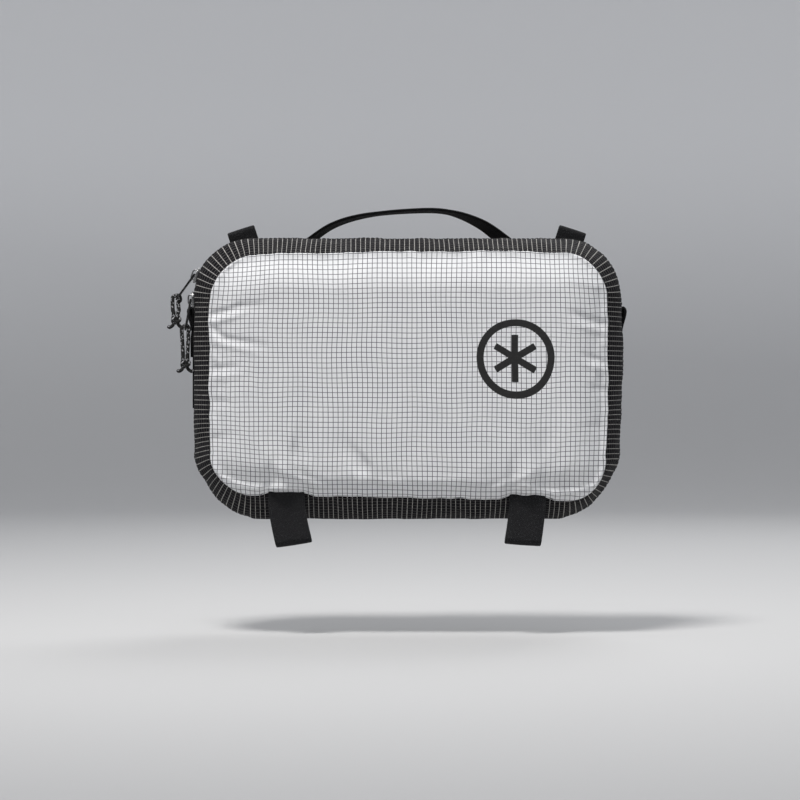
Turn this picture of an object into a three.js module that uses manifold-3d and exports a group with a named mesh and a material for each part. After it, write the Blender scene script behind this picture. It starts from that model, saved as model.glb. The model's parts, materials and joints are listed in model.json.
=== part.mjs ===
// A clamshell chest pouch: a padded back half, a domed front half that folds down on the bottom of the
// gusset, a two-way coil zip round the other three sides, a carry handle and webbing loops.
// X runs across the pouch, Z up, and the front faces -Y. The origin is the centre of the flat back face.
import * as THREE from "three";
import { mergeVertices } from "three/addons/utils/BufferGeometryUtils.js";
import Module from "manifold-3d";

const wasm = await Module();
wasm.setup();

// ---- Driving dimensions, in millimetres ----
const SEAM = { halfWidth: 137, halfHeight: 85, corner: 28 }; // outline of both seams, front and rear
const REAR_SEAM_Y = -2;
const FRONT_SEAM_Y = -70;
const BULGE = 12; // how far the gusset swells beyond the seams, at the zip
const CROWN = 11; // how far the front panel domes in front of its seam
const CROWN_RIM = 26; // width of the curved rim round the front panel's flatter middle
const CLOTH = 1.6; // coated ripstop with its backing
const GAP = 0.3; // clearance between neighbouring pieces

const BACK_STACK = { mesh: 1.7, foam: 5, lining: 1 };
const FRONT_STACK = { foam: 3, lining: 1 };
const LINER_INSET = CLOTH + GAP; // the inner layers stop short of the gusset's wall
const BINDING = { width: 6.5, thickness: 1.5, inset: 2.5 };

const ZIP = { halfWidth: 5, sunk: 1.4, tapeThickness: 0.8, coilWidth: 1.7, coilThickness: 2, slit: 0.6 };
const SLIDER = { length: 11, halfWidth: 4.6, plate: 1.2, throat: 1.7, web: 0.8 };
const BRIDGE = { length: 7, width: 2.4, clear: 1.8, bar: 1 };
const TAB = { length: 22, width: 6.6, thickness: 1.2, eye: 2.2, pin: 0.6, armWidth: 1.1 };
const CORD = { diameter: 2.8, sides: 8 };
const UPPER_SLIDER_ANGLE = THREE.MathUtils.degToRad(20); // up the top left corner, from the side
const LOWER_SLIDER_Z = 54;
const UPPER_TAB_TILT = THREE.MathUtils.degToRad(36); // the lower pull props this tab out
const LOWER_TAB_TILT = THREE.MathUtils.degToRad(10); // the gusset props this one out
const CORD_DROP = { upper: 14, lower: 24 }; // from a tab's eye down to the knot

const WEBBING = { lash: 25, handle: 15, side: 20, anchor: 20, ply: 1.8 };
const LASH = { x: 83, drop: 2.5, length: 31, foldRadius: 4.5 };
const HANDLE = { y: -13, footZ: 95.2, splitZ: 107, thickness: 2 };
const POCKET = { halfWidth: 105, bottomZ: -68, topZ: 12, depth: 7, wall: 1, elastic: 6 };

// ---- Values worked out from them ----
const ZIP_Y = (REAR_SEAM_Y + FRONT_SEAM_Y) / 2;
const ZIP_OFFSET = BULGE - ZIP.sunk;
const CORNER_X = SEAM.halfWidth - SEAM.corner;
const CORNER_Z = SEAM.halfHeight - SEAM.corner;
const LINING_FRONT_Y = -BACK_STACK.mesh - BACK_STACK.foam - BACK_STACK.lining - 2 * GAP;

const pouch = new THREE.Group();

function add(parent, name, geometry, color, roughness = 0.85, metalness = 0) {
  const material = new THREE.MeshStandardMaterial({ color, roughness, metalness });
  const mesh = new THREE.Mesh(geometry, material);
  mesh.name = name;
  parent.add(mesh);
  return mesh;
}

const COLOR = {
  white: 0xe4e4e6,
  ripstop: 0x17161a,
  mesh: 0x1e1e21,
  foam: 0x3a3a3e,
  lining: 0x55565c,
  webbing: 0x242427,
  tape: 0x101012,
  coil: 0x0b0b0c,
  metal: 0x9a9ba0,
  cord: 0x1b1b1d,
};

// ---- Shape helpers ----

// A closed solid through sections that all have the same number of points. A closed loft joins its last
// section to its first; an open one is capped, so its end sections are convex.
function loft(sections, closed) {
  const size = sections[0].length;
  const index = [];
  const joins = closed ? sections.length : sections.length - 1;
  for (let i = 0; i < joins; i++) {
    const here = i * size;
    const next = ((i + 1) % sections.length) * size;
    for (let k = 0; k < size; k++) {
      const l = (k + 1) % size;
      index.push(here + k, here + l, next + l, here + k, next + l, next + k);
    }
  }
  if (!closed) {
    const last = (sections.length - 1) * size;
    for (let k = 1; k < size - 1; k++) {
      index.push(0, k + 1, k, last, last + k, last + k + 1);
    }
  }
  const geometry = new THREE.BufferGeometry().setFromPoints(sections.flat());
  geometry.setIndex(index);
  return facingOut(geometry);
}

function facingOut(geometry) {
  const position = geometry.attributes.position;
  const index = geometry.index.array;
  const [a, b, c] = [new THREE.Vector3(), new THREE.Vector3(), new THREE.Vector3()];
  let volume = 0;
  for (let i = 0; i < index.length; i += 3) {
    a.fromBufferAttribute(position, index[i]);
    b.fromBufferAttribute(position, index[i + 1]);
    c.fromBufferAttribute(position, index[i + 2]);
    volume += a.dot(b.cross(c));
  }
  if (volume < 0) {
    for (let i = 0; i < index.length; i += 3) {
      [index[i + 1], index[i + 2]] = [index[i + 2], index[i + 1]];
    }
  }
  return geometry;
}

function toSolid(geometry) {
  const bare = geometry.clone().deleteAttribute("normal").deleteAttribute("uv");
  const merged = mergeVertices(bare, 1e-4);
  const mesh = { vertProperties: merged.attributes.position.array, triVerts: new Uint32Array(merged.index.array) };
  return new wasm.Manifold(new wasm.Mesh({ numProp: 3, ...mesh }));
}

function fromSolid(solid) {
  const mesh = solid.getMesh();
  const geometry = new THREE.BufferGeometry();
  geometry.setAttribute("position", new THREE.BufferAttribute(mesh.vertProperties, 3));
  geometry.setIndex(new THREE.BufferAttribute(mesh.triVerts, 1));
  return geometry;
}

const join = (...parts) => fromSolid(parts.map(toSolid).reduce((a, b) => a.add(b)));
const cut = (part, tool) => fromSolid(toSolid(part).subtract(toSolid(tool)));

function block(x0, x1, y0, y1, z0, z1) {
  const size = [x1 - x0, y1 - y0, z1 - z0].map(Math.abs);
  return new THREE.BoxGeometry(...size).translate((x0 + x1) / 2, (y0 + y1) / 2, (z0 + z1) / 2);
}

// Extrudes a shape drawn in the YZ plane along X, evenly about X = 0.
function extrudeAlongX(shape, width, curveSegments = 6) {
  const options = { depth: width, bevelEnabled: false, curveSegments };
  const axes = [new THREE.Vector3(0, 1, 0), new THREE.Vector3(0, 0, 1), new THREE.Vector3(1, 0, 0)];
  const turn = new THREE.Matrix4().makeBasis(...axes);
  return new THREE.ExtrudeGeometry(shape, options).translate(0, 0, -width / 2).applyMatrix4(turn);
}

// ---- The outline that both seams, the gusset and the zip follow ----

const CORNER_STEPS = 6;
const CORNER_SIDES = [[1, -1], [1, 1], [-1, 1], [-1, -1]]; // bottom right, top right, top left, bottom left

// One turn round the seam, seen from the front: up the right side, across the top and down the left
// side. Every one of these stations is on the zip; the two on the bottom run are on the fold.
const outline = CORNER_SIDES.flatMap(([sideX, sideZ], corner) =>
  Array.from({ length: CORNER_STEPS + 1 }, (_, step) => {
    const angle = (Math.PI / 2) * (corner - 1 + step / CORNER_STEPS);
    const normal = new THREE.Vector3(Math.cos(angle), 0, Math.sin(angle));
    const point = new THREE.Vector3(sideX * CORNER_X, 0, sideZ * CORNER_Z);
    point.addScaledVector(normal, SEAM.corner);
    return { point, normal, zipped: true };
  }),
);
const FOLD_HALF = CORNER_X - 6;
const foldStations = [-FOLD_HALF, FOLD_HALF].map((x) => ({
  point: new THREE.Vector3(x, 0, -SEAM.halfHeight),
  normal: new THREE.Vector3(0, 0, -1),
  zipped: false,
}));

function onOutline(station, offset, y) {
  const at = station.point.clone().addScaledVector(station.normal, offset);
  return at.setY(y);
}

function bulgeAt(y) {
  return BULGE * Math.sin((Math.PI * (y - REAR_SEAM_Y)) / (FRONT_SEAM_Y - REAR_SEAM_Y));
}

// sectionAt gives a station's section as [offset, y] pairs.
function ringAround(sectionAt) {
  const stations = [...outline, ...foldStations];
  return loft(stations.map((s) => sectionAt(s).map(([offset, y]) => onOutline(s, offset, y))), true);
}

function stripAlongZip(section) {
  return loft(outline.map((s) => section.map(([offset, y]) => onOutline(s, offset, y))), false);
}

function seamShape(inset) {
  const shape = new THREE.Shape();
  const radius = SEAM.corner - inset;
  CORNER_SIDES.forEach(([sideX, sideZ], corner) => {
    const start = (Math.PI / 2) * (corner - 1);
    shape.absarc(sideX * CORNER_X, sideZ * CORNER_Z, radius, start, start + Math.PI / 2);
  });
  return shape;
}

// A flat layer with the seam's outline, from y towards the front.
function flatLayer(inset, y, thickness) {
  const options = { depth: thickness, bevelEnabled: false, curveSegments: CORNER_STEPS };
  return new THREE.ExtrudeGeometry(seamShape(inset), options).rotateX(Math.PI / 2).translate(0, y, 0);
}

// A domed layer whose back rim is at y. It follows the crown of the front panel.
function domedLayer(rimInset, y, thickness) {
  const insets = [0, 0.2, 0.45, 0.7, 1].map((share) => THREE.MathUtils.lerp(rimInset, CROWN_RIM, share));
  const loopAt = (inset, baseY) => {
    const crown = CROWN * Math.sin((Math.PI / 2) * (inset / CROWN_RIM));
    return outline.map((s) => onOutline(s, -inset, baseY - crown));
  };
  const inner = insets.map((inset) => loopAt(inset, y)).reverse();
  const outer = insets.map((inset) => loopAt(inset, y - thickness));
  return loft([...inner, ...outer], false);
}

// ---- Gusset, panels and layers ----

const GUSSET_STEPS = 5;

function gussetHalf(seamY, side) {
  return ringAround((station) => {
    const edgeY = ZIP_Y + side * (station.zipped ? ZIP.halfWidth : ZIP.slit / 2);
    const ys = Array.from({ length: GUSSET_STEPS + 1 }, (_, i) =>
      THREE.MathUtils.lerp(seamY, edgeY, i / GUSSET_STEPS));
    const outer = ys.map((y) => [bulgeAt(y), y]);
    const inner = ys.map((y) => [bulgeAt(y) - CLOTH, y]).reverse();
    return [...outer, ...inner];
  });
}

function binding(y, side) {
  const { width, thickness, inset } = BINDING;
  const section = [[-inset, y], [-inset, y + side * width], [-inset - thickness, y + side * width], [-inset - thickness, y]];
  return ringAround(() => section);
}

const REAR = 1; // towards +Y
const FRONT = -1;

function addBackLayers(root) {
  add(root, "back_panel", flatLayer(0, 0, BACK_STACK.mesh), COLOR.mesh);
  const foamY = -BACK_STACK.mesh - GAP;
  add(root, "back_foam", flatLayer(LINER_INSET, foamY, BACK_STACK.foam), COLOR.foam);
  const liningY = foamY - BACK_STACK.foam - GAP;
  add(root, "back_lining", flatLayer(LINER_INSET, liningY, BACK_STACK.lining), COLOR.lining);
  add(root, "rear_gusset", gussetHalf(REAR_SEAM_Y, REAR), COLOR.ripstop);
  add(root, "rear_seam_binding", binding(LINING_FRONT_Y - GAP, FRONT), COLOR.tape);
}

function addFrontLayers(lid) {
  const panelY = FRONT_SEAM_Y - GAP;
  add(lid, "front_panel", domedLayer(0, panelY, CLOTH), COLOR.white, 0.7);
  const foamY = panelY + GAP + FRONT_STACK.foam;
  add(lid, "front_foam", domedLayer(LINER_INSET, foamY, FRONT_STACK.foam), COLOR.foam);
  const liningY = foamY + GAP + FRONT_STACK.lining;
  add(lid, "front_lining", domedLayer(LINER_INSET, liningY, FRONT_STACK.lining), COLOR.lining);
  add(lid, "front_gusset", gussetHalf(FRONT_SEAM_Y, FRONT), COLOR.ripstop);
  add(lid, "front_seam_binding", binding(liningY + GAP, REAR), COLOR.tape);
}

function addPocket(root) {
  const { halfWidth, bottomZ, topZ, depth, wall, elastic } = POCKET;
  const backY = LINING_FRONT_Y - GAP;
  const frontY = backY - depth;
  const outside = block(-halfWidth, halfWidth, backY, frontY, bottomZ, topZ);
  const inside = block(-halfWidth + wall, halfWidth - wall, backY + 1, frontY + wall, bottomZ + wall, topZ + 1);
  add(root, "inner_pocket", cut(outside, inside), COLOR.mesh);
  const hem = block(-halfWidth, halfWidth, frontY + wall, frontY - GAP, topZ + GAP, topZ + GAP + elastic);
  add(root, "inner_pocket_elastic", hem, COLOR.tape);
}

// ---- Zip ----

function addZipHalf(body, end, side) {
  const at = (y) => ZIP_Y + side * y;
  const slab = (thickness, from, to) => [
    [ZIP_OFFSET - thickness / 2, at(from)],
    [ZIP_OFFSET + thickness / 2, at(from)],
    [ZIP_OFFSET + thickness / 2, at(to)],
    [ZIP_OFFSET - thickness / 2, at(to)],
  ];
  const coilEdge = ZIP.slit + ZIP.coilWidth;
  const tape = slab(ZIP.tapeThickness, coilEdge + GAP, ZIP.halfWidth - GAP);
  add(body, `${end}_zip_tape`, stripAlongZip(tape), COLOR.tape);
  add(body, `${end}_zip_coil`, stripAlongZip(slab(ZIP.coilThickness, ZIP.slit, coilEdge)), COLOR.coil, 0.5);
}

// The zip's bottom stops close the ends of the rear coil.
function addZipStops(root) {
  const z = -SEAM.halfHeight - ZIP_OFFSET;
  for (const [name, side] of [["zip_stop_left", -1], ["zip_stop_right", 1]]) {
    const outerX = side * (CORNER_X - GAP);
    const innerX = side * (CORNER_X - 3);
    const rearY = ZIP_Y + ZIP.slit + ZIP.coilWidth;
    const stop = block(outerX, innerX, ZIP_Y + ZIP.slit, rearY, z - 1.3, z + 1.3);
    add(root, name, stop, COLOR.metal, 0.35, 0.9);
  }
}

// A slider in its own frame: -X points out of the pouch, Z along the zip, and the origin is on the
// zip's centre line. Two plates and a thin web between the coils, and the bridge that holds the tab.
function sliderGeometry() {
  const { length, halfWidth, plate, throat, web } = SLIDER;
  const halfLength = length / 2;
  const outerPlate = block(-throat - plate, -throat, -halfWidth, halfWidth, -halfLength, halfLength);
  const innerPlate = block(throat, throat + plate, -halfWidth, halfWidth, -halfLength, halfLength);
  const webBlock = block(-throat - plate / 2, throat + plate / 2, -web / 2, web / 2, -halfLength, halfLength);
  const top = -throat - plate;
  const arch = block(top + plate / 2, top - BRIDGE.clear - BRIDGE.bar, -BRIDGE.width / 2, BRIDGE.width / 2,
    -BRIDGE.length / 2, BRIDGE.length / 2);
  const under = block(top, top - BRIDGE.clear, -BRIDGE.width, BRIDGE.width,
    -BRIDGE.length / 2 + BRIDGE.bar, BRIDGE.length / 2 - BRIDGE.bar);
  return join(outerPlate, innerPlate, webBlock, cut(arch, under));
}

const PIN_X = -SLIDER.throat - SLIDER.plate - BRIDGE.clear / 2; // the tab's pin, under the bridge
const KNOT_HALF = 4.4;
const RIM_BELOW_EYE = TAB.eye + 1.4;
const EYE_Z = -TAB.length + RIM_BELOW_EYE;

// A tab in its own frame: it hangs down from its pin, which lies along Y at the origin.
function tabGeometry() {
  const { length, width, thickness, eye, pin, armWidth } = TAB;
  const pinBar = new THREE.CylinderGeometry(pin, pin, width, 10);
  const topOfPlate = -BRIDGE.length / 2 - 2;
  const armEdge = width / 2;
  const half = thickness / 2;
  const arms = [-1, 1].map((side) =>
    block(-half, half, side * armEdge, side * (armEdge - armWidth), topOfPlate - 1, 0));
  const plate = block(-half, half, -armEdge, armEdge, -length, topOfPlate);
  const hole = new THREE.CylinderGeometry(eye, eye, width, 12).rotateZ(Math.PI / 2);
  hole.translate(0, 0, EYE_Z);
  return cut(join(pinBar, ...arms, plate), hole);
}

// A cord loop that passes through a tilted tab's eye, clears its rim and hangs straight down. Its frame
// stands upright at the eye, and the loop lies in the XZ plane.
function cordLoop(tilt, drop) {
  const clear = TAB.thickness / 2 + CORD.diameter / 2 + GAP + 0.1;
  const close = CORD.diameter / 2 + 0.2;
  const upright = new THREE.Matrix4().makeRotationY(tilt);
  const besideTab = (x, z) => new THREE.Vector3(x, 0, z).applyMatrix4(upright);
  const centreX = cordCentreX(tilt);
  const strand = (side) => [
    besideTab(side * clear, -1.8),
    besideTab(side * clear, -RIM_BELOW_EYE - 0.6),
    new THREE.Vector3(centreX + side * (close + 0.5), 0, -10),
    new THREE.Vector3(centreX + side * close, 0, -drop * 0.8),
    new THREE.Vector3(centreX + side * close, 0, -drop),
  ];
  const throughEye = besideTab(0, 0.2);
  return new THREE.CatmullRomCurve3([...strand(-1).reverse(), throughEye, ...strand(1)]);
}

function cordCentreX(tilt) {
  return -RIM_BELOW_EYE * Math.sin(tilt);
}

function cordGeometry(path) {
  const section = new THREE.Shape().absarc(0, 0, CORD.diameter / 2, 0, 2 * Math.PI);
  const steps = Math.round(path.getLength() / CORD.diameter);
  const options = { steps, curveSegments: CORD.sides, bevelEnabled: false, extrudePath: path };
  return new THREE.ExtrudeGeometry(section, options);
}

function knotGeometry() {
  return new THREE.SphereGeometry(1, 12, 8).scale(3.6, 3.6, KNOT_HALF);
}

// A whole pull: slider, tab and knotted cord, in a group that stands at the slider's place.
function addPull(name, placeGroup, tilt, drop) {
  add(placeGroup, `zip_slider_${name}`, sliderGeometry(), COLOR.metal, 0.35, 0.9);
  const hanging = new THREE.Group();
  hanging.position.x = PIN_X;
  hanging.rotation.y = tilt - placeGroup.rotation.y;
  placeGroup.add(hanging);
  add(hanging, `zip_tab_${name}`, tabGeometry(), COLOR.metal, 0.35, 0.9);
  const cordGroup = new THREE.Group();
  cordGroup.position.z = EYE_Z;
  cordGroup.rotation.y = -tilt;
  hanging.add(cordGroup);
  add(cordGroup, `zip_cord_${name}`, cordGeometry(cordLoop(tilt, drop)), COLOR.cord);
  const knot = add(cordGroup, `zip_knot_${name}`, knotGeometry(), COLOR.cord);
  knot.position.set(cordCentreX(tilt), 0, -drop - KNOT_HALF - GAP);
}

function addPulls(root) {
  const lower = new THREE.Group();
  lower.position.set(-SEAM.halfWidth - ZIP_OFFSET, ZIP_Y, LOWER_SLIDER_Z);
  root.add(lower);
  addPull("lower", lower, LOWER_TAB_TILT, CORD_DROP.lower);

  const radius = SEAM.corner + ZIP_OFFSET;
  const upper = new THREE.Group();
  const x = -CORNER_X - radius * Math.cos(UPPER_SLIDER_ANGLE);
  upper.position.set(x, ZIP_Y, CORNER_Z + radius * Math.sin(UPPER_SLIDER_ANGLE));
  upper.rotation.y = UPPER_SLIDER_ANGLE;
  root.add(upper);
  addPull("upper", upper, UPPER_TAB_TILT, CORD_DROP.upper);
}

// ---- Webbing ----

// A folded loop of webbing, hanging down from Z = 0: two plies that part towards a round fold.
function foldedLoopShape(length, ply, foldRadius) {
  const foldZ = -length + foldRadius;
  const shape = new THREE.Shape();
  shape.moveTo(-ply - 0.1, 0);
  shape.lineTo(-foldRadius, foldZ);
  shape.absarc(0, foldZ, foldRadius, Math.PI, 2 * Math.PI);
  shape.lineTo(ply + 0.1, 0);
  const hole = new THREE.Path();
  const inner = foldRadius - ply;
  hole.moveTo(0, foldZ * 0.25);
  hole.lineTo(-inner, foldZ);
  hole.absarc(0, foldZ, inner, Math.PI, 2 * Math.PI);
  shape.holes.push(hole);
  return shape;
}

function addLashLoops(lid) {
  for (const [name, side] of [["lash_loop_left", -1], ["lash_loop_right", 1]]) {
    const shape = foldedLoopShape(LASH.length, WEBBING.ply, LASH.foldRadius);
    const loop = add(lid, name, extrudeAlongX(shape, WEBBING.lash), COLOR.webbing);
    loop.position.set(side * LASH.x, FRONT_SEAM_Y - 0.5, -SEAM.halfHeight - LASH.drop);
  }
}

// Short loops at the top corners, standing up from the rear seam, for the straps that carry the pouch.
function addAnchorLoops(root) {
  for (const [name, side] of [["anchor_loop_left", -1], ["anchor_loop_right", 1]]) {
    const shape = foldedLoopShape(17, WEBBING.ply, WEBBING.ply + 1);
    const loop = add(root, name, extrudeAlongX(shape, WEBBING.anchor), COLOR.webbing);
    loop.rotation.set(0, side * THREE.MathUtils.degToRad(18) + Math.PI, 0);
    loop.position.set(side * 113, REAR_SEAM_Y - 1.4, SEAM.halfHeight + 4.2);
  }
}

// A strip sewn down the rear of each side, whose upper end stands free as a folded loop.
function addSideLoops(root) {
  const y = -17;
  const slope = Math.atan2(bulgeAt(y - 8) - bulgeAt(y + 8), 16);
  for (const [name, side] of [["side_loop_left", -1], ["side_loop_right", 1]]) {
    const loopLength = 26;
    const shape = new THREE.Shape();
    const outerX = 6.2;
    const foldZ = loopLength - outerX / 2;
    shape.moveTo(0, -46);
    shape.lineTo(WEBBING.ply, -46);
    shape.lineTo(WEBBING.ply + 0.1, 0);
    shape.lineTo(outerX, foldZ);
    shape.absarc(outerX / 2, foldZ, outerX / 2, 0, Math.PI);
    const hole = new THREE.Path();
    const inner = outerX / 2 - WEBBING.ply;
    hole.moveTo(outerX / 2 - inner + 0.2, 9);
    hole.lineTo(outerX / 2 - inner, foldZ);
    hole.absarc(outerX / 2, foldZ, inner, Math.PI, 0, true);
    shape.holes.push(hole);
    const options = { depth: WEBBING.side, bevelEnabled: false, curveSegments: 6 };
    const geometry = new THREE.ExtrudeGeometry(shape, options);
    geometry.translate(0, 0, -WEBBING.side / 2).rotateX(Math.PI / 2);
    const loop = add(root, name, geometry, COLOR.webbing);
    loop.rotation.z = side > 0 ? slope : Math.PI - slope;
    loop.position.set(side * (SEAM.halfWidth + bulgeAt(y) + 1.1), y, 24);
  }
}

// A flat strap along a path in the XZ plane, with its width across the pouch's depth, along Y. Each
// section stays at one X, so that the handle's ends pass its feet as it swings about X.
function strapAlong(path, from, to, width, thickness, steps) {
  const sections = Array.from({ length: steps + 1 }, (_, i) => {
    const at = THREE.MathUtils.lerp(from, to, i / steps);
    const centre = path.getPointAt(at);
    const slope = path.getTangentAt(at).x;
    const up = new THREE.Vector3(0, 0, thickness / 2 / slope);
    const across = new THREE.Vector3(0, width / 2, 0);
    return [[1, 1], [-1, 1], [-1, -1], [1, -1]].map(([a, b]) =>
      centre.clone().addScaledVector(across, a).addScaledVector(up, b));
  });
  return loft(sections, false);
}

function handlePath() {
  const route = [[-70, HANDLE.footZ], [-53, 107], [-31, 114], [0, 117.4], [28, 117], [52, 108.5], [70, HANDLE.footZ]];
  return new THREE.CatmullRomCurve3(route.map(([x, z]) => new THREE.Vector3(x, HANDLE.y, z)));
}

// The share of the path at which it first rises to z, counted from its near or far end.
function shareAtHeight(path, z, fromEnd) {
  const shares = Array.from({ length: 401 }, (_, i) => i / 400);
  if (fromEnd) shares.reverse();
  return shares.find((share) => path.getPointAt(share).z >= z);
}

function addHandle(root, handle) {
  const path = handlePath();
  const start = shareAtHeight(path, HANDLE.splitZ, false);
  const end = shareAtHeight(path, HANDLE.splitZ, true);
  const gap = (1.5 * GAP) / path.getLength();
  const strap = (from, to, steps) => strapAlong(path, from, to, WEBBING.handle, HANDLE.thickness, steps);
  add(root, "handle_foot_left", strap(0.012, start - gap, 4), COLOR.webbing);
  add(root, "handle_foot_right", strap(end + gap, 0.988, 4), COLOR.webbing);
  add(handle, "carry_handle", strap(start, end, 20), COLOR.webbing);
}

// ---- The pouch ----

addBackLayers(pouch);
addPocket(pouch);
addFrontLayers(pouch);
addZipHalf(pouch, "rear", REAR);
addZipHalf(pouch, "front", FRONT);
addZipStops(pouch);
addPulls(pouch);
addLashLoops(pouch);
addAnchorLoops(pouch);
addSideLoops(pouch);
addHandle(pouch, pouch);

export default pouch;
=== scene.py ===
"""Looks for a chest pouch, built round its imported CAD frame.

Everything is in metres in the frame's own axes: X across the pouch, Z up, and the front faces -Y.
Lengths written with MM are millimetres. Every cloth piece carries a UV map in metres of cloth.
"""

import json
import math

import bmesh
import bpy
import numpy as np
from mathutils import Matrix, Vector, noise


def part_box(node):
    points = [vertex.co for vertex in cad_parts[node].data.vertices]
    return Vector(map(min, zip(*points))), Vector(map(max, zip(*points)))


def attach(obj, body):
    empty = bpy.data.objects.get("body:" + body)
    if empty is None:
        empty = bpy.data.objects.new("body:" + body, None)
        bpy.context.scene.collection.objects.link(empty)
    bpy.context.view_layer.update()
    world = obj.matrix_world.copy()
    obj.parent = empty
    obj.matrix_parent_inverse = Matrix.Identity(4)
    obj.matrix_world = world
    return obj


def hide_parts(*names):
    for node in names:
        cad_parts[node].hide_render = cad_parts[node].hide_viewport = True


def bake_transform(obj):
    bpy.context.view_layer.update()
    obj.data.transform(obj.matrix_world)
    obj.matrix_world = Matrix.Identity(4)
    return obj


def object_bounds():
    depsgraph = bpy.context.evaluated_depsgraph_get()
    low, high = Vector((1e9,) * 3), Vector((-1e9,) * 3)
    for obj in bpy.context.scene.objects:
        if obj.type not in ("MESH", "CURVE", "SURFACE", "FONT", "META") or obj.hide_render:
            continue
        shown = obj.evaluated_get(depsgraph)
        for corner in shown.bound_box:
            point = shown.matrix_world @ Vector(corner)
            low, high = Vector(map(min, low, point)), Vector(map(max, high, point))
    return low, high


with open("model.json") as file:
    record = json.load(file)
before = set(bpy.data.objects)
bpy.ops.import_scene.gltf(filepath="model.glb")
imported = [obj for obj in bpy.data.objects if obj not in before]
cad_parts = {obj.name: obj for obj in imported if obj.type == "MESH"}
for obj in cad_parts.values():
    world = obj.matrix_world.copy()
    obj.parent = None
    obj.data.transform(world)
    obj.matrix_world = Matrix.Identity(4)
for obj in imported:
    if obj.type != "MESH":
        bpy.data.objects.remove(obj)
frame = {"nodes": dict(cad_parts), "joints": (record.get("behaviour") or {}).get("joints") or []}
cad_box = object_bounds()

# ---- Sizes, from the frame and the CAD's driving dimensions ----

MM = 0.001
SEAM_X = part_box("back_panel")[1].x
SEAM_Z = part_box("back_panel")[1].z
REAR_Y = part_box("rear_gusset")[1].y
FRONT_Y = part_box("front_gusset")[0].y
ZIP_Y = (REAR_Y + FRONT_Y) / 2
CORNER = 28 * MM  # radius of the seams' corners
BULGE = 12 * MM  # from the seams out to the gusset's widest line
CROWN = 11 * MM  # height of the front panel's dome
CROWN_RIM = 26 * MM  # how far in from the seam the dome rises
ZIP_HALF = 5 * MM  # half the width of the gap in the gusset that the zip fills
ZIP_OFFSET = BULGE - 1.4 * MM
GRID = 3.4 * MM  # pitch of the ripstop's threads
CORNER_X = SEAM_X - CORNER
CORNER_Z = SEAM_Z - CORNER
PERIMETER = 4 * (CORNER_X + CORNER_Z) + 2 * math.pi * CORNER
CLOTH_UV = "cloth"
REAR, FRONT = 1, -1  # the halves, and the side of the zip that each is on in Y
SEAM_Y = {REAR: REAR_Y, FRONT: FRONT_Y}


def configure(thing, **settings):
    """Sets properties on a Blender thing and gives it back."""
    for name, value in settings.items():
        setattr(thing, name, value)
    return thing


def in_scene(name, data):
    """A new object with that data."""
    made = bpy.data.objects.new(name, data)
    bpy.context.scene.collection.objects.link(made)
    return made


# ---- Node materials ----


class Value:
    """What a shader node works out. A sum of values makes the nodes for it."""

    def __init__(self, surface, socket):
        self.surface = surface
        self.socket = socket

    def __add__(self, other):
        return self.surface.math("ADD", self, other)

    def __sub__(self, other):
        return self.surface.math("SUBTRACT", self, other)

    def __mul__(self, other):
        return self.surface.math("MULTIPLY", self, other)

    def __truediv__(self, other):
        return self.surface.math("DIVIDE", self, other)

    def __abs__(self):
        return self.surface.math("ABSOLUTE", self)


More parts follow.
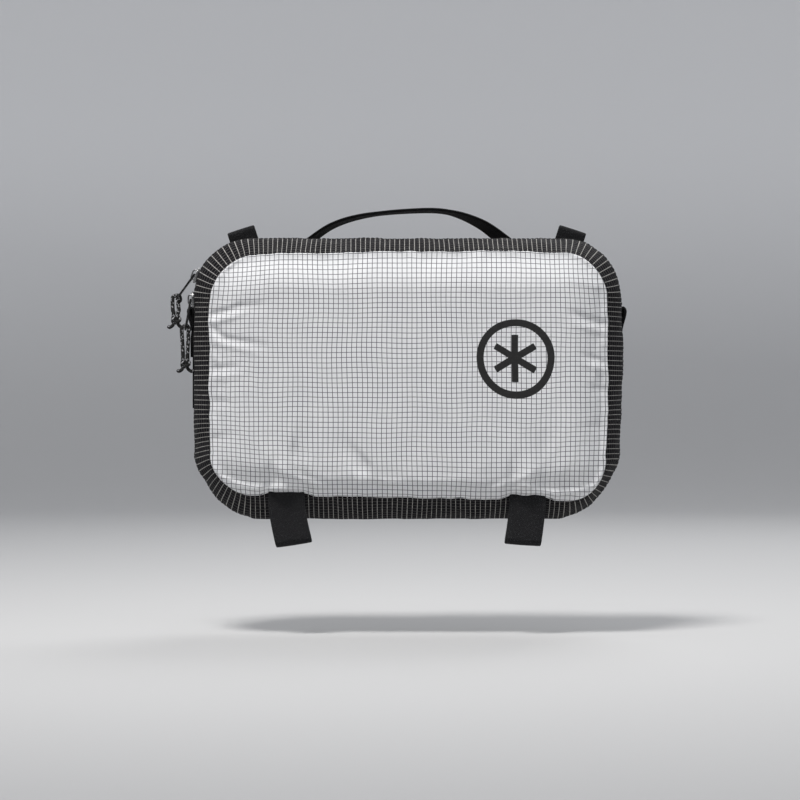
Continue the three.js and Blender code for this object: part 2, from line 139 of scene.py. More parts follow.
class Surface:
    """A material: a Principled shader, and short chains of nodes that feed it."""

    def __init__(self, name, roughness, metallic=0.0, **sockets):
        self.material = bpy.data.materials.new(name)
        self.material.use_nodes = True
        self.tree = self.material.node_tree
        self.inputs = self.tree.nodes["Principled BSDF"].inputs
        for socket, value in {"Roughness": roughness, "Metallic": metallic, **sockets}.items():
            self.inputs[socket.replace("_", " ")].default_value = value

    def node(self, kind, output, inputs=(), **settings):
        """The value that a new node gives at one of its outputs."""
        node = configure(self.tree.nodes.new(kind), **settings)
        for key, value in dict(inputs).items():
            self.feed(node.inputs[key], value)
        return Value(self, node.outputs[output])

    def feed(self, socket, value):
        if isinstance(value, Value):
            self.tree.links.new(value.socket, socket)
        else:
            socket.default_value = value

    def math(self, operation, a, b=0.0):
        return self.node("ShaderNodeMath", 0, {0: a, 1: b}, operation=operation)

    def most(self, a, b):
        return self.math("MAXIMUM", a, b)

    def cloth(self):
        """The distances along and across the cloth, in metres."""
        place = self.node("ShaderNodeUVMap", 0, uv_map=CLOTH_UV)
        return [self.node("ShaderNodeSeparateXYZ", axis, {0: place}) for axis in (0, 1)]

    def mix(self, share, a, b):
        return self.node("ShaderNodeMix", 2, {0: share, 6: a, 7: b}, data_type="RGBA")

    def noise(self, scale, detail=2.0, cloth_stretch=None):
        """Noise in space or, where cloth_stretch is given, on the cloth."""
        if cloth_stretch:
            on_cloth = self.node("ShaderNodeUVMap", 0, uv_map=CLOTH_UV)
            stretched = {0: on_cloth, 1: cloth_stretch}
            place = self.node("ShaderNodeVectorMath", 0, stretched, operation="MULTIPLY")
        else:
            place = self.node("ShaderNodeTexCoord", "Object")
        return self.node("ShaderNodeTexNoise", "Fac", {"Vector": place, "Scale": scale, "Detail": detail})

    def mottled(self, scale, dark, light, detail=2.0, blue=0.0):
        """Patches of two greys."""
        return self.mix(self.noise(scale, detail), grey(dark, blue), grey(light, blue))

    def ramp(self, value, low, high, to_low=0.0, to_high=1.0):
        inputs = {0: value, 1: low, 2: high, 3: to_low, 4: to_high}
        return self.node("ShaderNodeMapRange", 0, inputs, interpolation_type="SMOOTHSTEP")

    def within(self, distance, half, soft):
        """1 where the distance is less than half, and 0 where it is more."""
        return self.ramp(distance, half - soft, half + soft, 1.0, 0.0)

    def thread(self, distance, pitch, width):
        """1 on threads of that width at every pitch, and 0 between them."""
        from_thread = abs(self.math("FRACT", distance / pitch + 0.5) - 0.5) * pitch
        return self.within(from_thread, width / 2, THREAD_EDGE)

    def wave(self, distance, pitch):
        return self.math("SINE", distance * (2 * math.pi / pitch))

    def weave(self, along, across, pitch, pitch_across=None):
        """Threads that pass over and under each other, from -1 to 1."""
        return self.wave(along, pitch) * self.wave(across, pitch_across or pitch)

    def bump(self, height, distance):
        normal = self.node("ShaderNodeBump", 0, {"Height": height, "Distance": distance, "Strength": 1.0})
        self.feed(self.inputs["Normal"], normal)

    def colour(self, value):
        self.feed(self.inputs["Base Color"], value)

    def roughness(self, value):
        self.feed(self.inputs["Roughness"], value)


def grey(level, blue=0.0):
    return (level, level, level * (1 + blue), 1.0)


THREAD_EDGE = 0.1 * MM  # how softly a thread's printed edge fades, to each side

MARK_CENTRE = (74 * MM, 13 * MM)
MARK_RING = (24.5 * MM, 5 * MM)  # middle radius and width
MARK_ARM = (16 * MM, 4.6 * MM)  # length and width of the star's arms
MARK_LINES = 3  # lines through the middle, each of which is two arms
MARK_EDGE = 0.12 * MM


def mark_mask(s, u, v):
    """A plain ring round a six-armed star, printed on the front panel."""
    x = u - MARK_CENTRE[0]
    z = v - MARK_CENTRE[1]
    radius = s.math("SQRT", x * x + z * z)
    mask = s.within(abs(radius - MARK_RING[0]), MARK_RING[1] / 2, MARK_EDGE)
    near = s.within(radius, MARK_ARM[0], MARK_EDGE)
    for k in range(MARK_LINES):
        angle = math.pi * k / MARK_LINES
        beside = abs(x * math.cos(angle) + z * math.sin(angle))
        mask = s.most(mask, s.within(beside, MARK_ARM[1] / 2, MARK_EDGE) * near)
    return mask


def front_ripstop():
    """White coated ripstop with a fine dark grid, and the printed mark."""
    s = Surface("front_ripstop", 0.7, Specular_IOR_Level=0.1)
    u, v = s.cloth()
    lines = s.most(s.thread(u, GRID, 0.44 * MM) * 0.96, s.thread(v, GRID, 0.42 * MM) * 0.92)
    weave = s.weave(u, v, 0.56 * MM)
    mark = mark_mask(s, u, v)
    patchy = s.noise(60.0, 3.0)
    white = s.mix(patchy, (0.69, 0.695, 0.715, 1), (0.79, 0.79, 0.795, 1))
    white = s.mix(s.ramp(weave, -1.0, 1.0, 0.0, 0.12), white, grey(0.55))
    gridded = s.mix(lines, white, (0.055, 0.057, 0.065, 1))
    s.colour(s.mix(mark, gridded, s.mottled(400.0, 0.019, 0.03)))
    s.roughness(s.ramp(patchy, 0.3, 0.7, 0.62, 0.74) - mark * 0.15)
    s.bump(lines * 0.5 + weave * 0.16 + mark * 0.3, 0.14 * MM)
    return s.material


def gusset_ripstop():
    """Black ripstop with strong pale threads from front to back, and fainter ones along the gusset."""
    s = Surface("gusset_ripstop", 0.66, Specular_IOR_Level=0.02)
    u, v = s.cloth()
    broken = s.ramp(s.noise(900.0), 0.35, 0.6, 0.45, 1.0)
    lines = s.most(s.thread(u, GRID, 0.42 * MM) * broken, s.thread(v, GRID, 0.4 * MM) * 0.22)
    weave = s.weave(u, v, 0.5 * MM)
    black = s.mix(s.noise(40.0, 3.0), (0.0045, 0.0042, 0.0058, 1), (0.0095, 0.0085, 0.011, 1))
    black = s.mix(s.ramp(weave, -1.0, 1.0, 0.0, 0.3), black, grey(0.02))
    s.colour(s.mix(lines, black, (0.42, 0.41, 0.39, 1)))
    s.roughness(s.ramp(s.noise(90.0), 0.3, 0.7, 0.52, 0.68))
    s.bump(lines * 0.8 + weave * 0.25, 0.18 * MM)
    return s.material


def webbing(name, dark, light, rib, flecked):
    """Woven webbing: ribs across it, a raised weave, and lighter fibres in its yarn."""
    s = Surface(name, 0.82, Specular_IOR_Level=0.05, Sheen_Weight=0.04, Sheen_Roughness=0.5)
    u, v = s.cloth()
    zigzag = abs(s.wave(v, 4.4 * rib))
    weave = s.weave(u + zigzag * (0.5 * rib), v, rib, 1.1 * rib)
    fibres = s.noise(1500.0, 3.0, cloth_stretch=(0.5, 1.4, 1))
    base = s.mix(s.ramp(weave, -1.0, 1.0), grey(dark, 0.08), grey(light, 0.06))
    s.colour(s.mix(s.ramp(fibres, 0.52, 0.74, 0.0, flecked), base, grey(light * 3.2, 0.05)))
    s.bump(weave + fibres * 0.5, 0.16 * MM)
    return s.material


def spacer_mesh():
    """Black spacer mesh: round holes in a staggered grid, coloured near-black as painted shade inside them.
    """
    s = Surface("spacer_mesh", 0.85, Specular_IOR_Level=0.15)
    u, v = s.cloth()
    slants = (0.0, math.pi / 3, -math.pi / 3)
    bars = [s.wave(u * math.cos(a) + v * math.sin(a), 2.6 * MM) for a in slants]
    holes = s.ramp(bars[0] + bars[1] + bars[2], 0.2, 1.2)
    # grey(0.003) in the holes is painted shade in the recesses, not a darker layer of cloth.
    s.colour(s.mix(holes, s.mix(s.noise(500.0), grey(0.018), grey(0.036, 0.05)), grey(0.003)))
    s.bump(s.noise(1800.0) * 0.25 - holes, 0.5 * MM)
    return s.material


def open_mesh():
    """A knitted pocket mesh with small holes, coloured near-black as painted shade seen through them."""
    s = Surface("pocket_mesh", 0.8, Specular_IOR_Level=0.3)
    u, v = s.cloth()
    holes = s.ramp(s.weave(u, v, 2.4 * MM, 2.0 * MM), 0.15, 0.6)
    # grey(0.004) in the holes is painted shade, where the pocket's shaded inside shows through.
    s.colour(s.mix(holes, grey(0.022, 0.05), grey(0.004)))
    s.bump(s.noise(1500.0) * 0.3 - holes, 0.3 * MM)
    return s.material


def plain_cloth(name, dark, light, pitch=0.6 * MM):
    s = Surface(name, 0.75, Specular_IOR_Level=0.3)
    weave = s.weave(*s.cloth(), pitch)
    base = s.mottled(70.0, dark, light, 3.0, 0.08)
    s.colour(s.mix(s.ramp(weave, -1.0, 1.0, 0.0, 0.35), base, grey(light * 1.6, 0.05)))
    s.bump(weave + s.noise(1200.0) * 0.4, 0.12 * MM)
    return s.material


def foam():
    s = Surface("foam", 0.9, Specular_IOR_Level=0.2)
    cells = s.noise(1600.0)
    s.colour(s.mix(cells, grey(0.04), grey(0.085)))
    s.bump(cells, 0.3 * MM)
    return s.material


def metal(name, dark, light, roughness):
    """Plated metal, worn a little in patches."""
    s = Surface(name, roughness, 1.0)
    wear = s.noise(350.0, 4.0)
    s.colour(s.mix(s.ramp(wear, 0.42, 0.68), grey(dark), grey(light)))
    s.roughness(s.ramp(wear, 0.3, 0.7, roughness - 0.08, roughness + 0.12))
    s.bump(s.noise(2500.0), 0.02 * MM)
    return s.material


def nylon_coil():
    s = Surface("zip_coil", 0.42, Specular_IOR_Level=0.5)
    s.colour(s.mottled(300.0, 0.007, 0.016))
    s.bump(s.noise(3000.0), 0.02 * MM)
    return s.material


def flecked_cord():
    """Black braided cord with pale reflective flecks."""
    s = Surface("cord", 0.7, Specular_IOR_Level=0.3)
    u, v = s.cloth()
    slants = [(u + v * sign) / (1.15 * MM) for sign in (1.0, -1.0)]
    cell = s.node("ShaderNodeCombineXYZ", 0, {k: s.math("FLOOR", slant) for k, slant in enumerate(slants)})
    fleck = s.ramp(s.node("ShaderNodeTexWhiteNoise", "Value", {"Vector": cell}), 0.8, 0.82)
    ridges = [s.math("SINE", slant * math.pi) for slant in slants]
    s.colour(s.mix(fleck, s.mottled(900.0, 0.008, 0.02), grey(0.36, 0.04)))
    s.bump(abs(ridges[0] * ridges[1]), 0.25 * MM)
    return s.material


MATERIAL = {
    "front_ripstop": front_ripstop(),
    "gusset_ripstop": gusset_ripstop(),
    "spacer_mesh": spacer_mesh(),
    "foam": foam(),
    "lining": plain_cloth("lining", 0.085, 0.12),
    "pocket_mesh": open_mesh(),
    "binding": plain_cloth("binding", 0.008, 0.014, 1.3 * MM),
    "webbing": webbing("webbing", 0.009, 0.021, 1.3 * MM, 0.8),
    "handle_webbing": webbing("handle_webbing", 0.004, 0.009, 1.1 * MM, 0.2),
    "zip_tape": plain_cloth("zip_tape", 0.006, 0.011, 0.9 * MM),
    "zip_coil": nylon_coil(),
    "zip_metal": metal("zip_metal", 0.2, 0.36, 0.32),
    "zip_pull_metal": metal("zip_pull_metal", 0.03, 0.075, 0.38),
    "cord": flecked_cord(),
    "thread": plain_cloth("thread", 0.012, 0.03, 0.35 * MM),
}


# ---- Mesh helpers ----


def new_piece(name, vertices, faces, uvs, flip_check=True):
    """A smooth mesh object. uvs has one (along, across) pair for each corner of each face."""
    mesh = bpy.data.meshes.new(name)
    mesh.from_pydata(np.asarray(vertices, float).tolist(), [], faces)
    layer = mesh.uv_layers.new(name=CLOTH_UV)
    layer.data.foreach_set("uv", np.asarray(uvs, np.float32).ravel())
    if flip_check:
        shaped = bmesh.new()
        shaped.from_mesh(mesh)
        bmesh.ops.recalc_face_normals(shaped, faces=shaped.faces)
        shaped.to_mesh(mesh)
        shaped.free()
    mesh.shade_smooth()
    return in_scene(name, mesh)


def skin(first, along, across, count, closed_path=False):
    """Faces and UVs of a tube of count rings, whose points are numbered from first. along is the distance
    at each ring, and across the distance at each of a ring's points and back at its first."""
    size = len(across) - 1
    faces, uvs = [], []
    for i in range(count if closed_path else count - 1):
        here, there = first + i * size, first + ((i + 1) % count) * size
        near, far = along[i], along[i + 1]
        for k in range(size):
            m = (k + 1) % size
            faces.append((here + k, here + m, there + m, there + k))
            uvs += [(near, across[k]), (near, across[k + 1]), (far, across[k + 1]), (far, across[k])]
    if not closed_path:
        for end, distance in ((first, along[0]), (first + (count - 1) * size, along[-1])):
            faces.append(tuple(range(end, end + size)))
            uvs += [(distance, a) for a in across[:size]]
    return faces, uvs


def sweep(name, rings, along, closed_path=False):
    """A surface through rings of points. along is the distance at each ring, and at the end if it closes."""
    rings = np.asarray(rings, float)
    steps = np.linalg.norm(np.roll(rings[0], -1, axis=0) - rings[0], axis=1)
    across = np.concatenate([[0.0], np.cumsum(steps)])
    faces, uvs = skin(0, along, across, len(rings), closed_path)
    return new_piece(name, rings.reshape(-1, 3), faces, uvs)


def shown_mesh(piece):
    graph = bpy.context.evaluated_depsgraph_get()
    return bpy.data.meshes.new_from_object(
        piece.evaluated_get(graph), preserve_all_data_layers=True, depsgraph=graph)


def apply_modifiers(piece):
    made = shown_mesh(piece)
    piece.modifiers.clear()
    piece.data = made
    return piece


def thicken(piece, thickness, rounds=0):
    """Gives a sheet its thickness, on its inner side, and applies it."""
    configure(piece.modifiers.new("shell", "SOLIDIFY"), thickness=thickness, offset=-1.0)
    if rounds:
        configure(piece.modifiers.new("smooth", "SUBSURF"), levels=rounds, render_levels=rounds)
    return apply_modifiers(piece)


def vertices_of(piece):
    points = np.empty(len(piece.data.vertices) * 3)
    piece.data.vertices.foreach_get("co", points)
    return points.reshape(-1, 3)


def lengths_along(points):
    steps = np.linalg.norm(np.diff(points, axis=0), axis=1)
    return np.concatenate([[0.0], np.cumsum(steps)])


def smooth_path(points, count):
    """A Catmull-Rom curve through the points, as count points at even distances."""
    points = np.asarray(points, float)
    padded = np.vstack([2 * points[0] - points[1], points, 2 * points[-1] - points[-2]])
    t = np.linspace(0, 1, 24, endpoint=False)[:, None]
    parts = []
    for a, b, c, d in zip(padded, padded[1:], padded[2:], padded[3:]):
        square = 2 * a - 5 * b + 4 * c - d
        cube = 3 * b - a - 3 * c + d
        parts.append(0.5 * (2 * b + (c - a) * t + square * t**2 + cube * t**3))
    return even_path(np.vstack([*parts, points[-1:]]), count)


def even_path(points, count):
    """count points at even distances along a polyline."""
    points = np.asarray(points, float)
    at = lengths_along(points)
    wanted = np.linspace(0, at[-1], count)
    return np.stack([np.interp(wanted, at, points[:, k]) for k in range(points.shape[1])], axis=1)


def unit(vectors):
    return vectors / np.maximum(np.linalg.norm(vectors, axis=-1, keepdims=True), 1e-12)


def strap_section(width, thickness, points=5):
    """A flat section with round edges, as (across, up) pairs."""
    radius = thickness / 2
    turn = np.linspace(-math.pi / 2, math.pi / 2, points)
    right = np.stack([width / 2 - radius + radius * np.cos(turn), radius * np.sin(turn)], axis=1)
    top = np.linspace(right[-1], [-right[-1][0], right[-1][1]], 8)[1:-1]
    return np.vstack([right, top, -right, -top])


def strap(name, centres, across, width, thickness, cup=0.0):
    """Webbing along a path. across points along its width, at each point or at all of them, and cup bends it
    across."""
    along = unit(np.gradient(centres, axis=0))
    across = unit(across - along * (across * along).sum(axis=1, keepdims=True))
    up = np.cross(along, across)
    section = strap_section(width, thickness)
    lift = section[:, 1] + cup * (1 - (2 * section[:, 0] / width) ** 2)
    rings = centres[:, None] + section[None, :, :1] * across[:, None] + lift[None, :, None] * up[:, None]
    return sweep(name, rings, lengths_along(centres))


def tube(name, centres, radius, sides=10, radii=None):
    """A round tube along a path that doesn't run along Y for long."""
    centres = np.asarray(centres, float)
    along = unit(np.gradient(centres, axis=0))
    side = unit(np.cross(along, np.array([0.0, 1.0, 0.001])))
    for i in range(1, len(side)):  # carried along the path, so that the tube doesn't twist
        side[i] = side[i - 1] - along[i] * (side[i - 1] @ along[i])
        side[i] /= np.linalg.norm(side[i])
    up = np.cross(along, side)
    angle = np.linspace(0, 2 * math.pi, sides, endpoint=False)
    widths = np.full(len(centres), radius) if radii is None else np.asarray(radii)
    ring = np.cos(angle)[None, :, None] * side[:, None] + np.sin(angle)[None, :, None] * up[:, None]
    rings = centres[:, None] + widths[:, None, None] * ring
    return sweep(name, rings, lengths_along(centres))


def joined(name, pieces):
    """Several pieces as one, under one name."""
    for other in bpy.context.selected_objects:
        other.select_set(False)
    for piece in pieces:
        piece.select_set(True)
    bpy.context.view_layer.objects.active = pieces[0]
    bpy.ops.object.join()
    pieces[0].name = name
    pieces[0].data.name = name
    return pieces[0]


def place(piece, body, slot, *nodes):
    """Gives a finished piece its material and its body, and hides the CAD nodes it stands for."""
    piece.data.materials.clear()
    piece.data.materials.append(MATERIAL[slot])
    if body:
        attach(piece, body)
    slot != "thread"
    if nodes:
        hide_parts(*nodes)
    return piece


def wobble(points, size, seed):
    """Smooth noise from about -1 to 1 at each point, with features of that size."""
    offset = Vector((seed, 2 * seed, 0))
    values = [noise.noise(Vector(p) / size + offset) for p in points.reshape(-1, 3)]
    return np.array(values).reshape(points.shape[:-1])


# ---- The outline of the seams ----


def outline_points(distances):
    """Points on the seam's outline and its outward normals, at distances from the middle of the bottom,
    up the +X side, over the top and down the -X side."""
    straights = [CORNER_X, 2 * CORNER_Z, 2 * CORNER_X, 2 * CORNER_Z, CORNER_X]
    points, normals = [], []
    for distance in distances:
        left = float(distance) % PERIMETER
        at, heading = Vector((0, 0, -SEAM_Z)), 0.0
        for straight in straights:
            run = min(left, straight)
            at += run * Vector((math.cos(heading), 0, math.sin(heading)))
            left -= run
            out = Vector((math.sin(heading), 0, -math.cos(heading)))
            if left <= 0:
                break
            turn = min(left / CORNER, math.pi / 2)
            centre = at - CORNER * out
            heading += turn
            out = Vector((math.sin(heading), 0, -math.cos(heading)))
            at = centre + CORNER * out
            left -= turn * CORNER
            if left <= 0:
                break
        points.append(at)
        normals.append(out)
    return np.array(points, float), np.array(normals, float)


def around(count):
    """Even distances once round the outline, with the last one back at the first."""
    return np.linspace(0, PERIMETER, count + 1)


def bulge_at(y):
    return BULGE * np.sin(math.pi * (y - REAR_Y) / (FRONT_Y - REAR_Y))


def depth_inside(x, z):
    """How far a point is inside the seam's outline."""
    qx, qz = np.abs(x) - CORNER_X, np.abs(z) - CORNER_Z
    outside = np.hypot(np.maximum(qx, 0), np.maximum(qz, 0))
    return CORNER - outside - np.minimum(np.maximum(qx, qz), 0)


def crown_at(depth):
    return CROWN * np.sin(math.pi / 2 * np.clip(depth / CROWN_RIM, 0, 1))


def rounded_grid(columns, rows, inset):
    """A grid whose border follows the rounded outline, that far inside it, as arrays of x and z."""
    radius = CORNER - inset
    x, z = np.meshgrid(np.linspace(-SEAM_X + inset, SEAM_X - inset, columns),
                       np.linspace(-SEAM_Z + inset, SEAM_Z - inset, rows))
    a = np.clip((np.abs(x) - CORNER_X) / radius, 0, 1)
    b = np.clip((np.abs(z) - CORNER_Z) / radius, 0, 1)
    round_x = np.minimum(np.abs(x), CORNER_X) + radius * a * np.sqrt(1 - b * b / 2)
    round_z = np.minimum(np.abs(z), CORNER_Z) + radius * b * np.sqrt(1 - a * a / 2)
    return np.sign(x) * round_x, np.sign(z) * round_z


def border_of(columns, rows):
    """The grid's border vertices in order: bottom, right, top, left."""
    bottom = list(range(columns))
    right = [columns * r + columns - 1 for r in range(1, rows)]
    top = [columns * (rows - 1) + c for c in range(columns - 2, -1, -1)]
    left = [columns * r for r in range(rows - 2, 0, -1)]
    return bottom + right + top + left


def grid_sheet(name, x, y, z, rim=()):
    """A sheet through a grid of points. rim has the (outward, backward) steps that continue its border."""
    rows, columns = x.shape
    points = np.stack([x, y, z], axis=-1).reshape(-1, 3)
    flat = np.stack([x, z], axis=-1).reshape(-1, 2)
    border = border_of(columns, rows)
    normal = unit(outward_at(x.ravel()[border], z.ravel()[border]))
    all_points, all_flat, loops = [points], [flat], [border]
    run, before = 0.0, (0.0, 0.0)
    for outward, backward in rim:
        run += math.hypot(outward - before[0], backward - before[1])
        before = (outward, backward)
        first = len(points) + (len(loops) - 1) * len(border)
        loops.append(list(range(first, first + len(border))))
        all_points.append(points[border] + normal * outward + [0, backward, 0])
        all_flat.append(flat[border] + normal[:, [0, 2]] * run)
    faces = []
    for corner in (r * columns + c for r in range(rows - 1) for c in range(columns - 1)):
        faces.append((corner, corner + 1, corner + columns + 1, corner + columns))
    for inner, outer in zip(loops, loops[1:]):
        for i in range(len(border)):
            j = (i + 1) % len(border)
            faces.append((inner[i], outer[i], outer[j], inner[j]))
    uvs = np.vstack(all_flat)[np.array(faces).ravel()]
    return new_piece(name, np.vstack(all_points), faces, uvs, flip_check=False)


def outward_at(x, z):
    """The outline's outward direction at points on it, with a length of 1 except in the corners."""
    qx, qz = np.abs(x) - CORNER_X, np.abs(z) - CORNER_Z
    in_corner = (qx > 1e-6) & (qz > 1e-6)
    on_side = qx - CORNER > qz - CORNER
    nx = np.where(in_corner, qx, np.where(on_side, 1.0, 0.0))
    nz = np.where(in_corner, qz, np.where(on_side, 0.0, 1.0))
    return np.stack([np.sign(x) * nx, np.zeros_like(nx), np.sign(z) * nz], axis=1)


# Where the front half has been pulled out of its even outline: middle, size and move, in mm across and up.
PULLS_OF_SHAPE = [
    (-137, 85, 36, 36, 4.0, -3.5), (-137, -85, 44, 40, 2.0, 4.5), (-35, -85, 75, 26, 0, 3.0),
    (137, 85, 30, 30, -2.0, -1.2), (137, 15, 20, 45, 1.2, 0), (-137, -15, 24, 50, 1.6, 0),
    (137, -80, 26, 26, -1.2, -0.8), (-60, 85, 40, 20, 0, -0.8), (40, 85, 50, 20, 0, 0.8),
]


def settled(points):
    """Points of the front half, moved as that half has settled: most at the front seam, not at all at the
    zip."""
    share = np.clip((ZIP_Y - ZIP_HALF - points[:, 1]) / (ZIP_Y - ZIP_HALF - FRONT_Y), 0, 1)
    share = share * share * (3 - 2 * share)
    moved = points.copy()
    for x, z, wide, high, right, up in PULLS_OF_SHAPE:
        away = ((points[:, 0] / MM - x) / wide) ** 2 + ((points[:, 2] / MM - z) / high) ** 2
        moved[:, 0] += right * MM * share * np.exp(-away)
        moved[:, 2] += up * MM * share * np.exp(-away)
    flat = points * [1, 0, 1]
    moved[:, 0] += 0.9 * MM * share * wobble(flat, 34 * MM, 61.0)
    moved[:, 2] += 1.1 * MM * share * wobble(flat, 34 * MM, 67.0)
    return moved


def move_vertices(piece, points):
    piece.data.vertices.foreach_set("co", points.ravel())
    piece.data.update()


def settle(piece):
    move_vertices(piece, settled(vertices_of(piece)))
    return piece


# ---- Cloth simulation ----


def relax(piece, pinned, slack, pressure, frames, cap):
    """Lets a sheet with slack in it fill out under pressure, with its pinned points held, and applies it.
    No point ends further than cap from where it began."""
    start = vertices_of(piece)
    group = piece.vertex_groups.new(name="pinned")
    group.add(pinned, 1.0, "REPLACE")
    cloth = piece.modifiers.new("cloth", "CLOTH")
    configure(cloth.settings, quality=6, mass=0.15, tension_stiffness=25, compression_stiffness=25,
              shear_stiffness=8, bending_stiffness=0.08, air_damping=3, vertex_group_mass=group.name,
              shrink_min=-slack, use_pressure=True, uniform_pressure_force=pressure)
    cloth.settings.effector_weights.gravity = 0.3
    configure(cloth.collision_settings, use_collision=False, use_self_collision=False)
    configure(cloth.point_cache, frame_start=1, frame_end=frames)
    scene = bpy.context.scene
    for step in range(1, frames + 1):
        scene.frame_set(step)
    apply_modifiers(piece)
    scene.frame_set(1)
    piece.vertex_groups.clear()
    moved = vertices_of(piece) - start
    far = np.linalg.norm(moved, axis=1, keepdims=True)
    move_vertices(piece, start + moved * (cap * np.tanh(far / cap) / np.maximum(far, 1e-9)))


# ---- Front panel ----

# Folds in the front panel: both ends in mm across and up, half-width and height in mm. A negative height
# is a crease. They run in from the side seams, and down to the webbing loops' stitching.
PANEL_FOLDS = [
    (-138, 43, -116, 50, 2.6, -2.0), (-116, 50, -98, 51, 3.4, -0.8), (-138, 37, -112, 45, 3.0, 1.3),
    (-138, 36, -126, 27, 2.4, -1.5), (-126, 27, -98, 22, 2.8, -1.3), (-134, 24, -104, 17, 3.6, 1.0),
    (-138, 6, -118, 7, 2.4, -1.1), (-138, -1, -114, 0, 3.0, 0.7), (-138, -16, -120, -17, 2.4, -0.7),
    (138, 36, 113, 45, 2.6, -1.7), (138, 30, 116, 36, 3.0, 1.1), (138, 10, 122, 15, 2.4, -1.3),
    (138, 4, 120, 8, 2.8, 0.8), (138, -9, 124, -6, 2.4, -0.8), (138, -34, 120, -33, 2.8, -0.6),
    (138, 62, 108, 66, 3.4, 0.6), (-138, -44, -120, -40, 3.0, -0.6),
    (-100, -86, -92, -58, 3.6, -1.7), (-67, -86, -75, -50, 3.6, -2.2), (-84, -84, -84, -58, 6.0, 1.5),
    (-76, -52, -73, -34, 5.0, -1.0), (-16, -86, -28, -60, 3.8, -1.6), (-28, -60, -42, -42, 4.4, -1.3),
    (-30, -86, -38, -58, 5.0, 1.0), (69, -86, 73, -54, 3.6, -1.8), (97, -86, 95, -40, 4.0, -1.7),
    (84, -84, 84, -60, 5.0, 1.0), (106, -84, 112, -62, 3.0, -0.9), (94, -58, 90, -40, 4.2, -0.6),
    (60, -74, 58, -44, 4.4, -0.5), (-56, 86, -54, 62, 4.0, -0.6), (14, 86, 12, 66, 4.0, -0.5),
    (-22, 86, -24, 68, 3.6, 0.4), (52, 86, 50, 64, 4.0, 0.45), (-104, 84, -92, 60, 4.5, 0.6),
]
TAB_X = 83 * MM  # the webbing loops' middles
FOLD_DEPTH = 1.9  # the share of the heights above by which the folds stand out
DEEPEST_CREASE = 2.6 * MM
FOLD_STEEP = 0.6  # a fold is this much narrower on the side that faces down than its width
PANEL_CLOTH = 0.5 * MM
PANEL_STAND = 1.3 * MM  # from the seam out to the panel's edge
PANEL_PILLOW = 1.6 * MM  # how much further its middle stands out than its dome
GATHER_REACH = 9 * MM  # how far in from the seam the gathers fade


def folds_at(x, z):
    """How far the front panel's folds stand out at points on it."""
    height = np.zeros_like(x)
    for x0, z0, x1, z1, width, rise in PANEL_FOLDS:
        start = np.array([x0, z0]) * MM
        run = np.array([x1, z1]) * MM - start
        long = np.hypot(*run)
        share = ((x - start[0]) * run[0] + (z - start[1]) * run[1]) / long**2
        held = np.clip(share, 0, 1)
        past = (share - held) * long
        beside = ((z - start[1]) * run[0] - (x - start[0]) * run[1]) / long * np.sign(run[0] or 1)
        steep = FOLD_STEEP if rise < 0 else 1 / FOLD_STEEP
        side_width = width * MM * np.where(beside > 0, steep, 1 / steep)
        fade = 1 - 0.75 * held**1.5
        height += rise * MM * fade * np.exp(-((past / (width * MM)) ** 2) - (beside / side_width) ** 2)
    height *= FOLD_DEPTH
    return np.where(height < 0, DEEPEST_CREASE * np.tanh(height / DEEPEST_CREASE), height)


def scallop_at(x, z):
    """Small gathers along the seam, where the thread pulls the cloth in."""
    points = np.stack([x, 0 * x, z], axis=-1)
    return (wobble(points, 7 * MM, 3.0) * 0.55 + wobble(points, 15 * MM, 5.0) * 0.8) * MM


def lift_at_tabs(x, z):
    """The panel's edge rides up over each webbing loop."""
    over = sum(np.exp(-((np.abs(x - side * TAB_X) / (16 * MM)) ** 6)) for side in (-1, 1))
    return over * np.exp(-((z + SEAM_Z) / (7 * MM)) ** 2)


def make_front_panel():
    columns, rows = 151, 95
    x, z = rounded_grid(columns, rows, 0.0)
    depth = depth_inside(x, z)
    pillow = PANEL_PILLOW * (1 - (x / SEAM_X) ** 2) * (1 - (z / SEAM_Z) ** 2)
    y = FRONT_Y - PANEL_STAND - crown_at(depth) - pillow
    drawn = grid_sheet("front_panel_drawn", x, y, z)
    relax(drawn, border_of(columns, rows), slack=0.02, pressure=2.0, frames=24, cap=2.2 * MM)
    points = vertices_of(drawn).reshape(rows, columns, 3)
    bpy.data.objects.remove(drawn)
    near_seam = np.exp(-depth / GATHER_REACH)
    fold = folds_at(x, z) * np.clip(depth / (3 * MM), 0.35, 1)
    points[..., 1] -= fold + scallop_at(x, z) * near_seam * 0.9
    outward = outward_at(x.ravel(), z.ravel()).reshape(rows, columns, 3)
    edge = np.exp(-((depth / (4 * MM)) ** 2))
    points += outward * (edge * (scallop_at(x + 0.05, z) * 0.8 - 0.2 * MM))[..., None]
    points += lift_at_tabs(x, z)[..., None] * [0, -1.6 * MM, 2.6 * MM]
    rim = np.array([(0.5, 0.3), (0.85, 0.9), (0.6, 1.6), (-0.4, 2.1)]) * MM
    piece = grid_sheet("front_panel_cloth", *np.moveaxis(points, -1, 0), rim)
    keep_flat_uv(piece, x, z)
    thicken(piece, PANEL_CLOTH, rounds=1)
    place(settle(piece), "lid", "front_ripstop", "front_panel")


def keep_flat_uv(piece, x, z):
    """Puts the grid's flat places back in the UV map, after its points have moved."""
    layer = piece.data.uv_layers[CLOTH_UV]
    flat = np.stack([x.ravel(), z.ravel()], axis=1)
    corners = np.empty(len(piece.data.loops), np.int32)
    piece.data.loops.foreach_get("vertex_index", corners)
    uv = np.empty(len(corners) * 2, np.float32)
    layer.data.foreach_get("uv", uv)
    uv = uv.reshape(-1, 2)
    inner = corners < len(flat)
    uv[inner] = flat[corners[inner]]
    layer.data.foreach_set("uv", uv.ravel())


# ---- Gusset ----

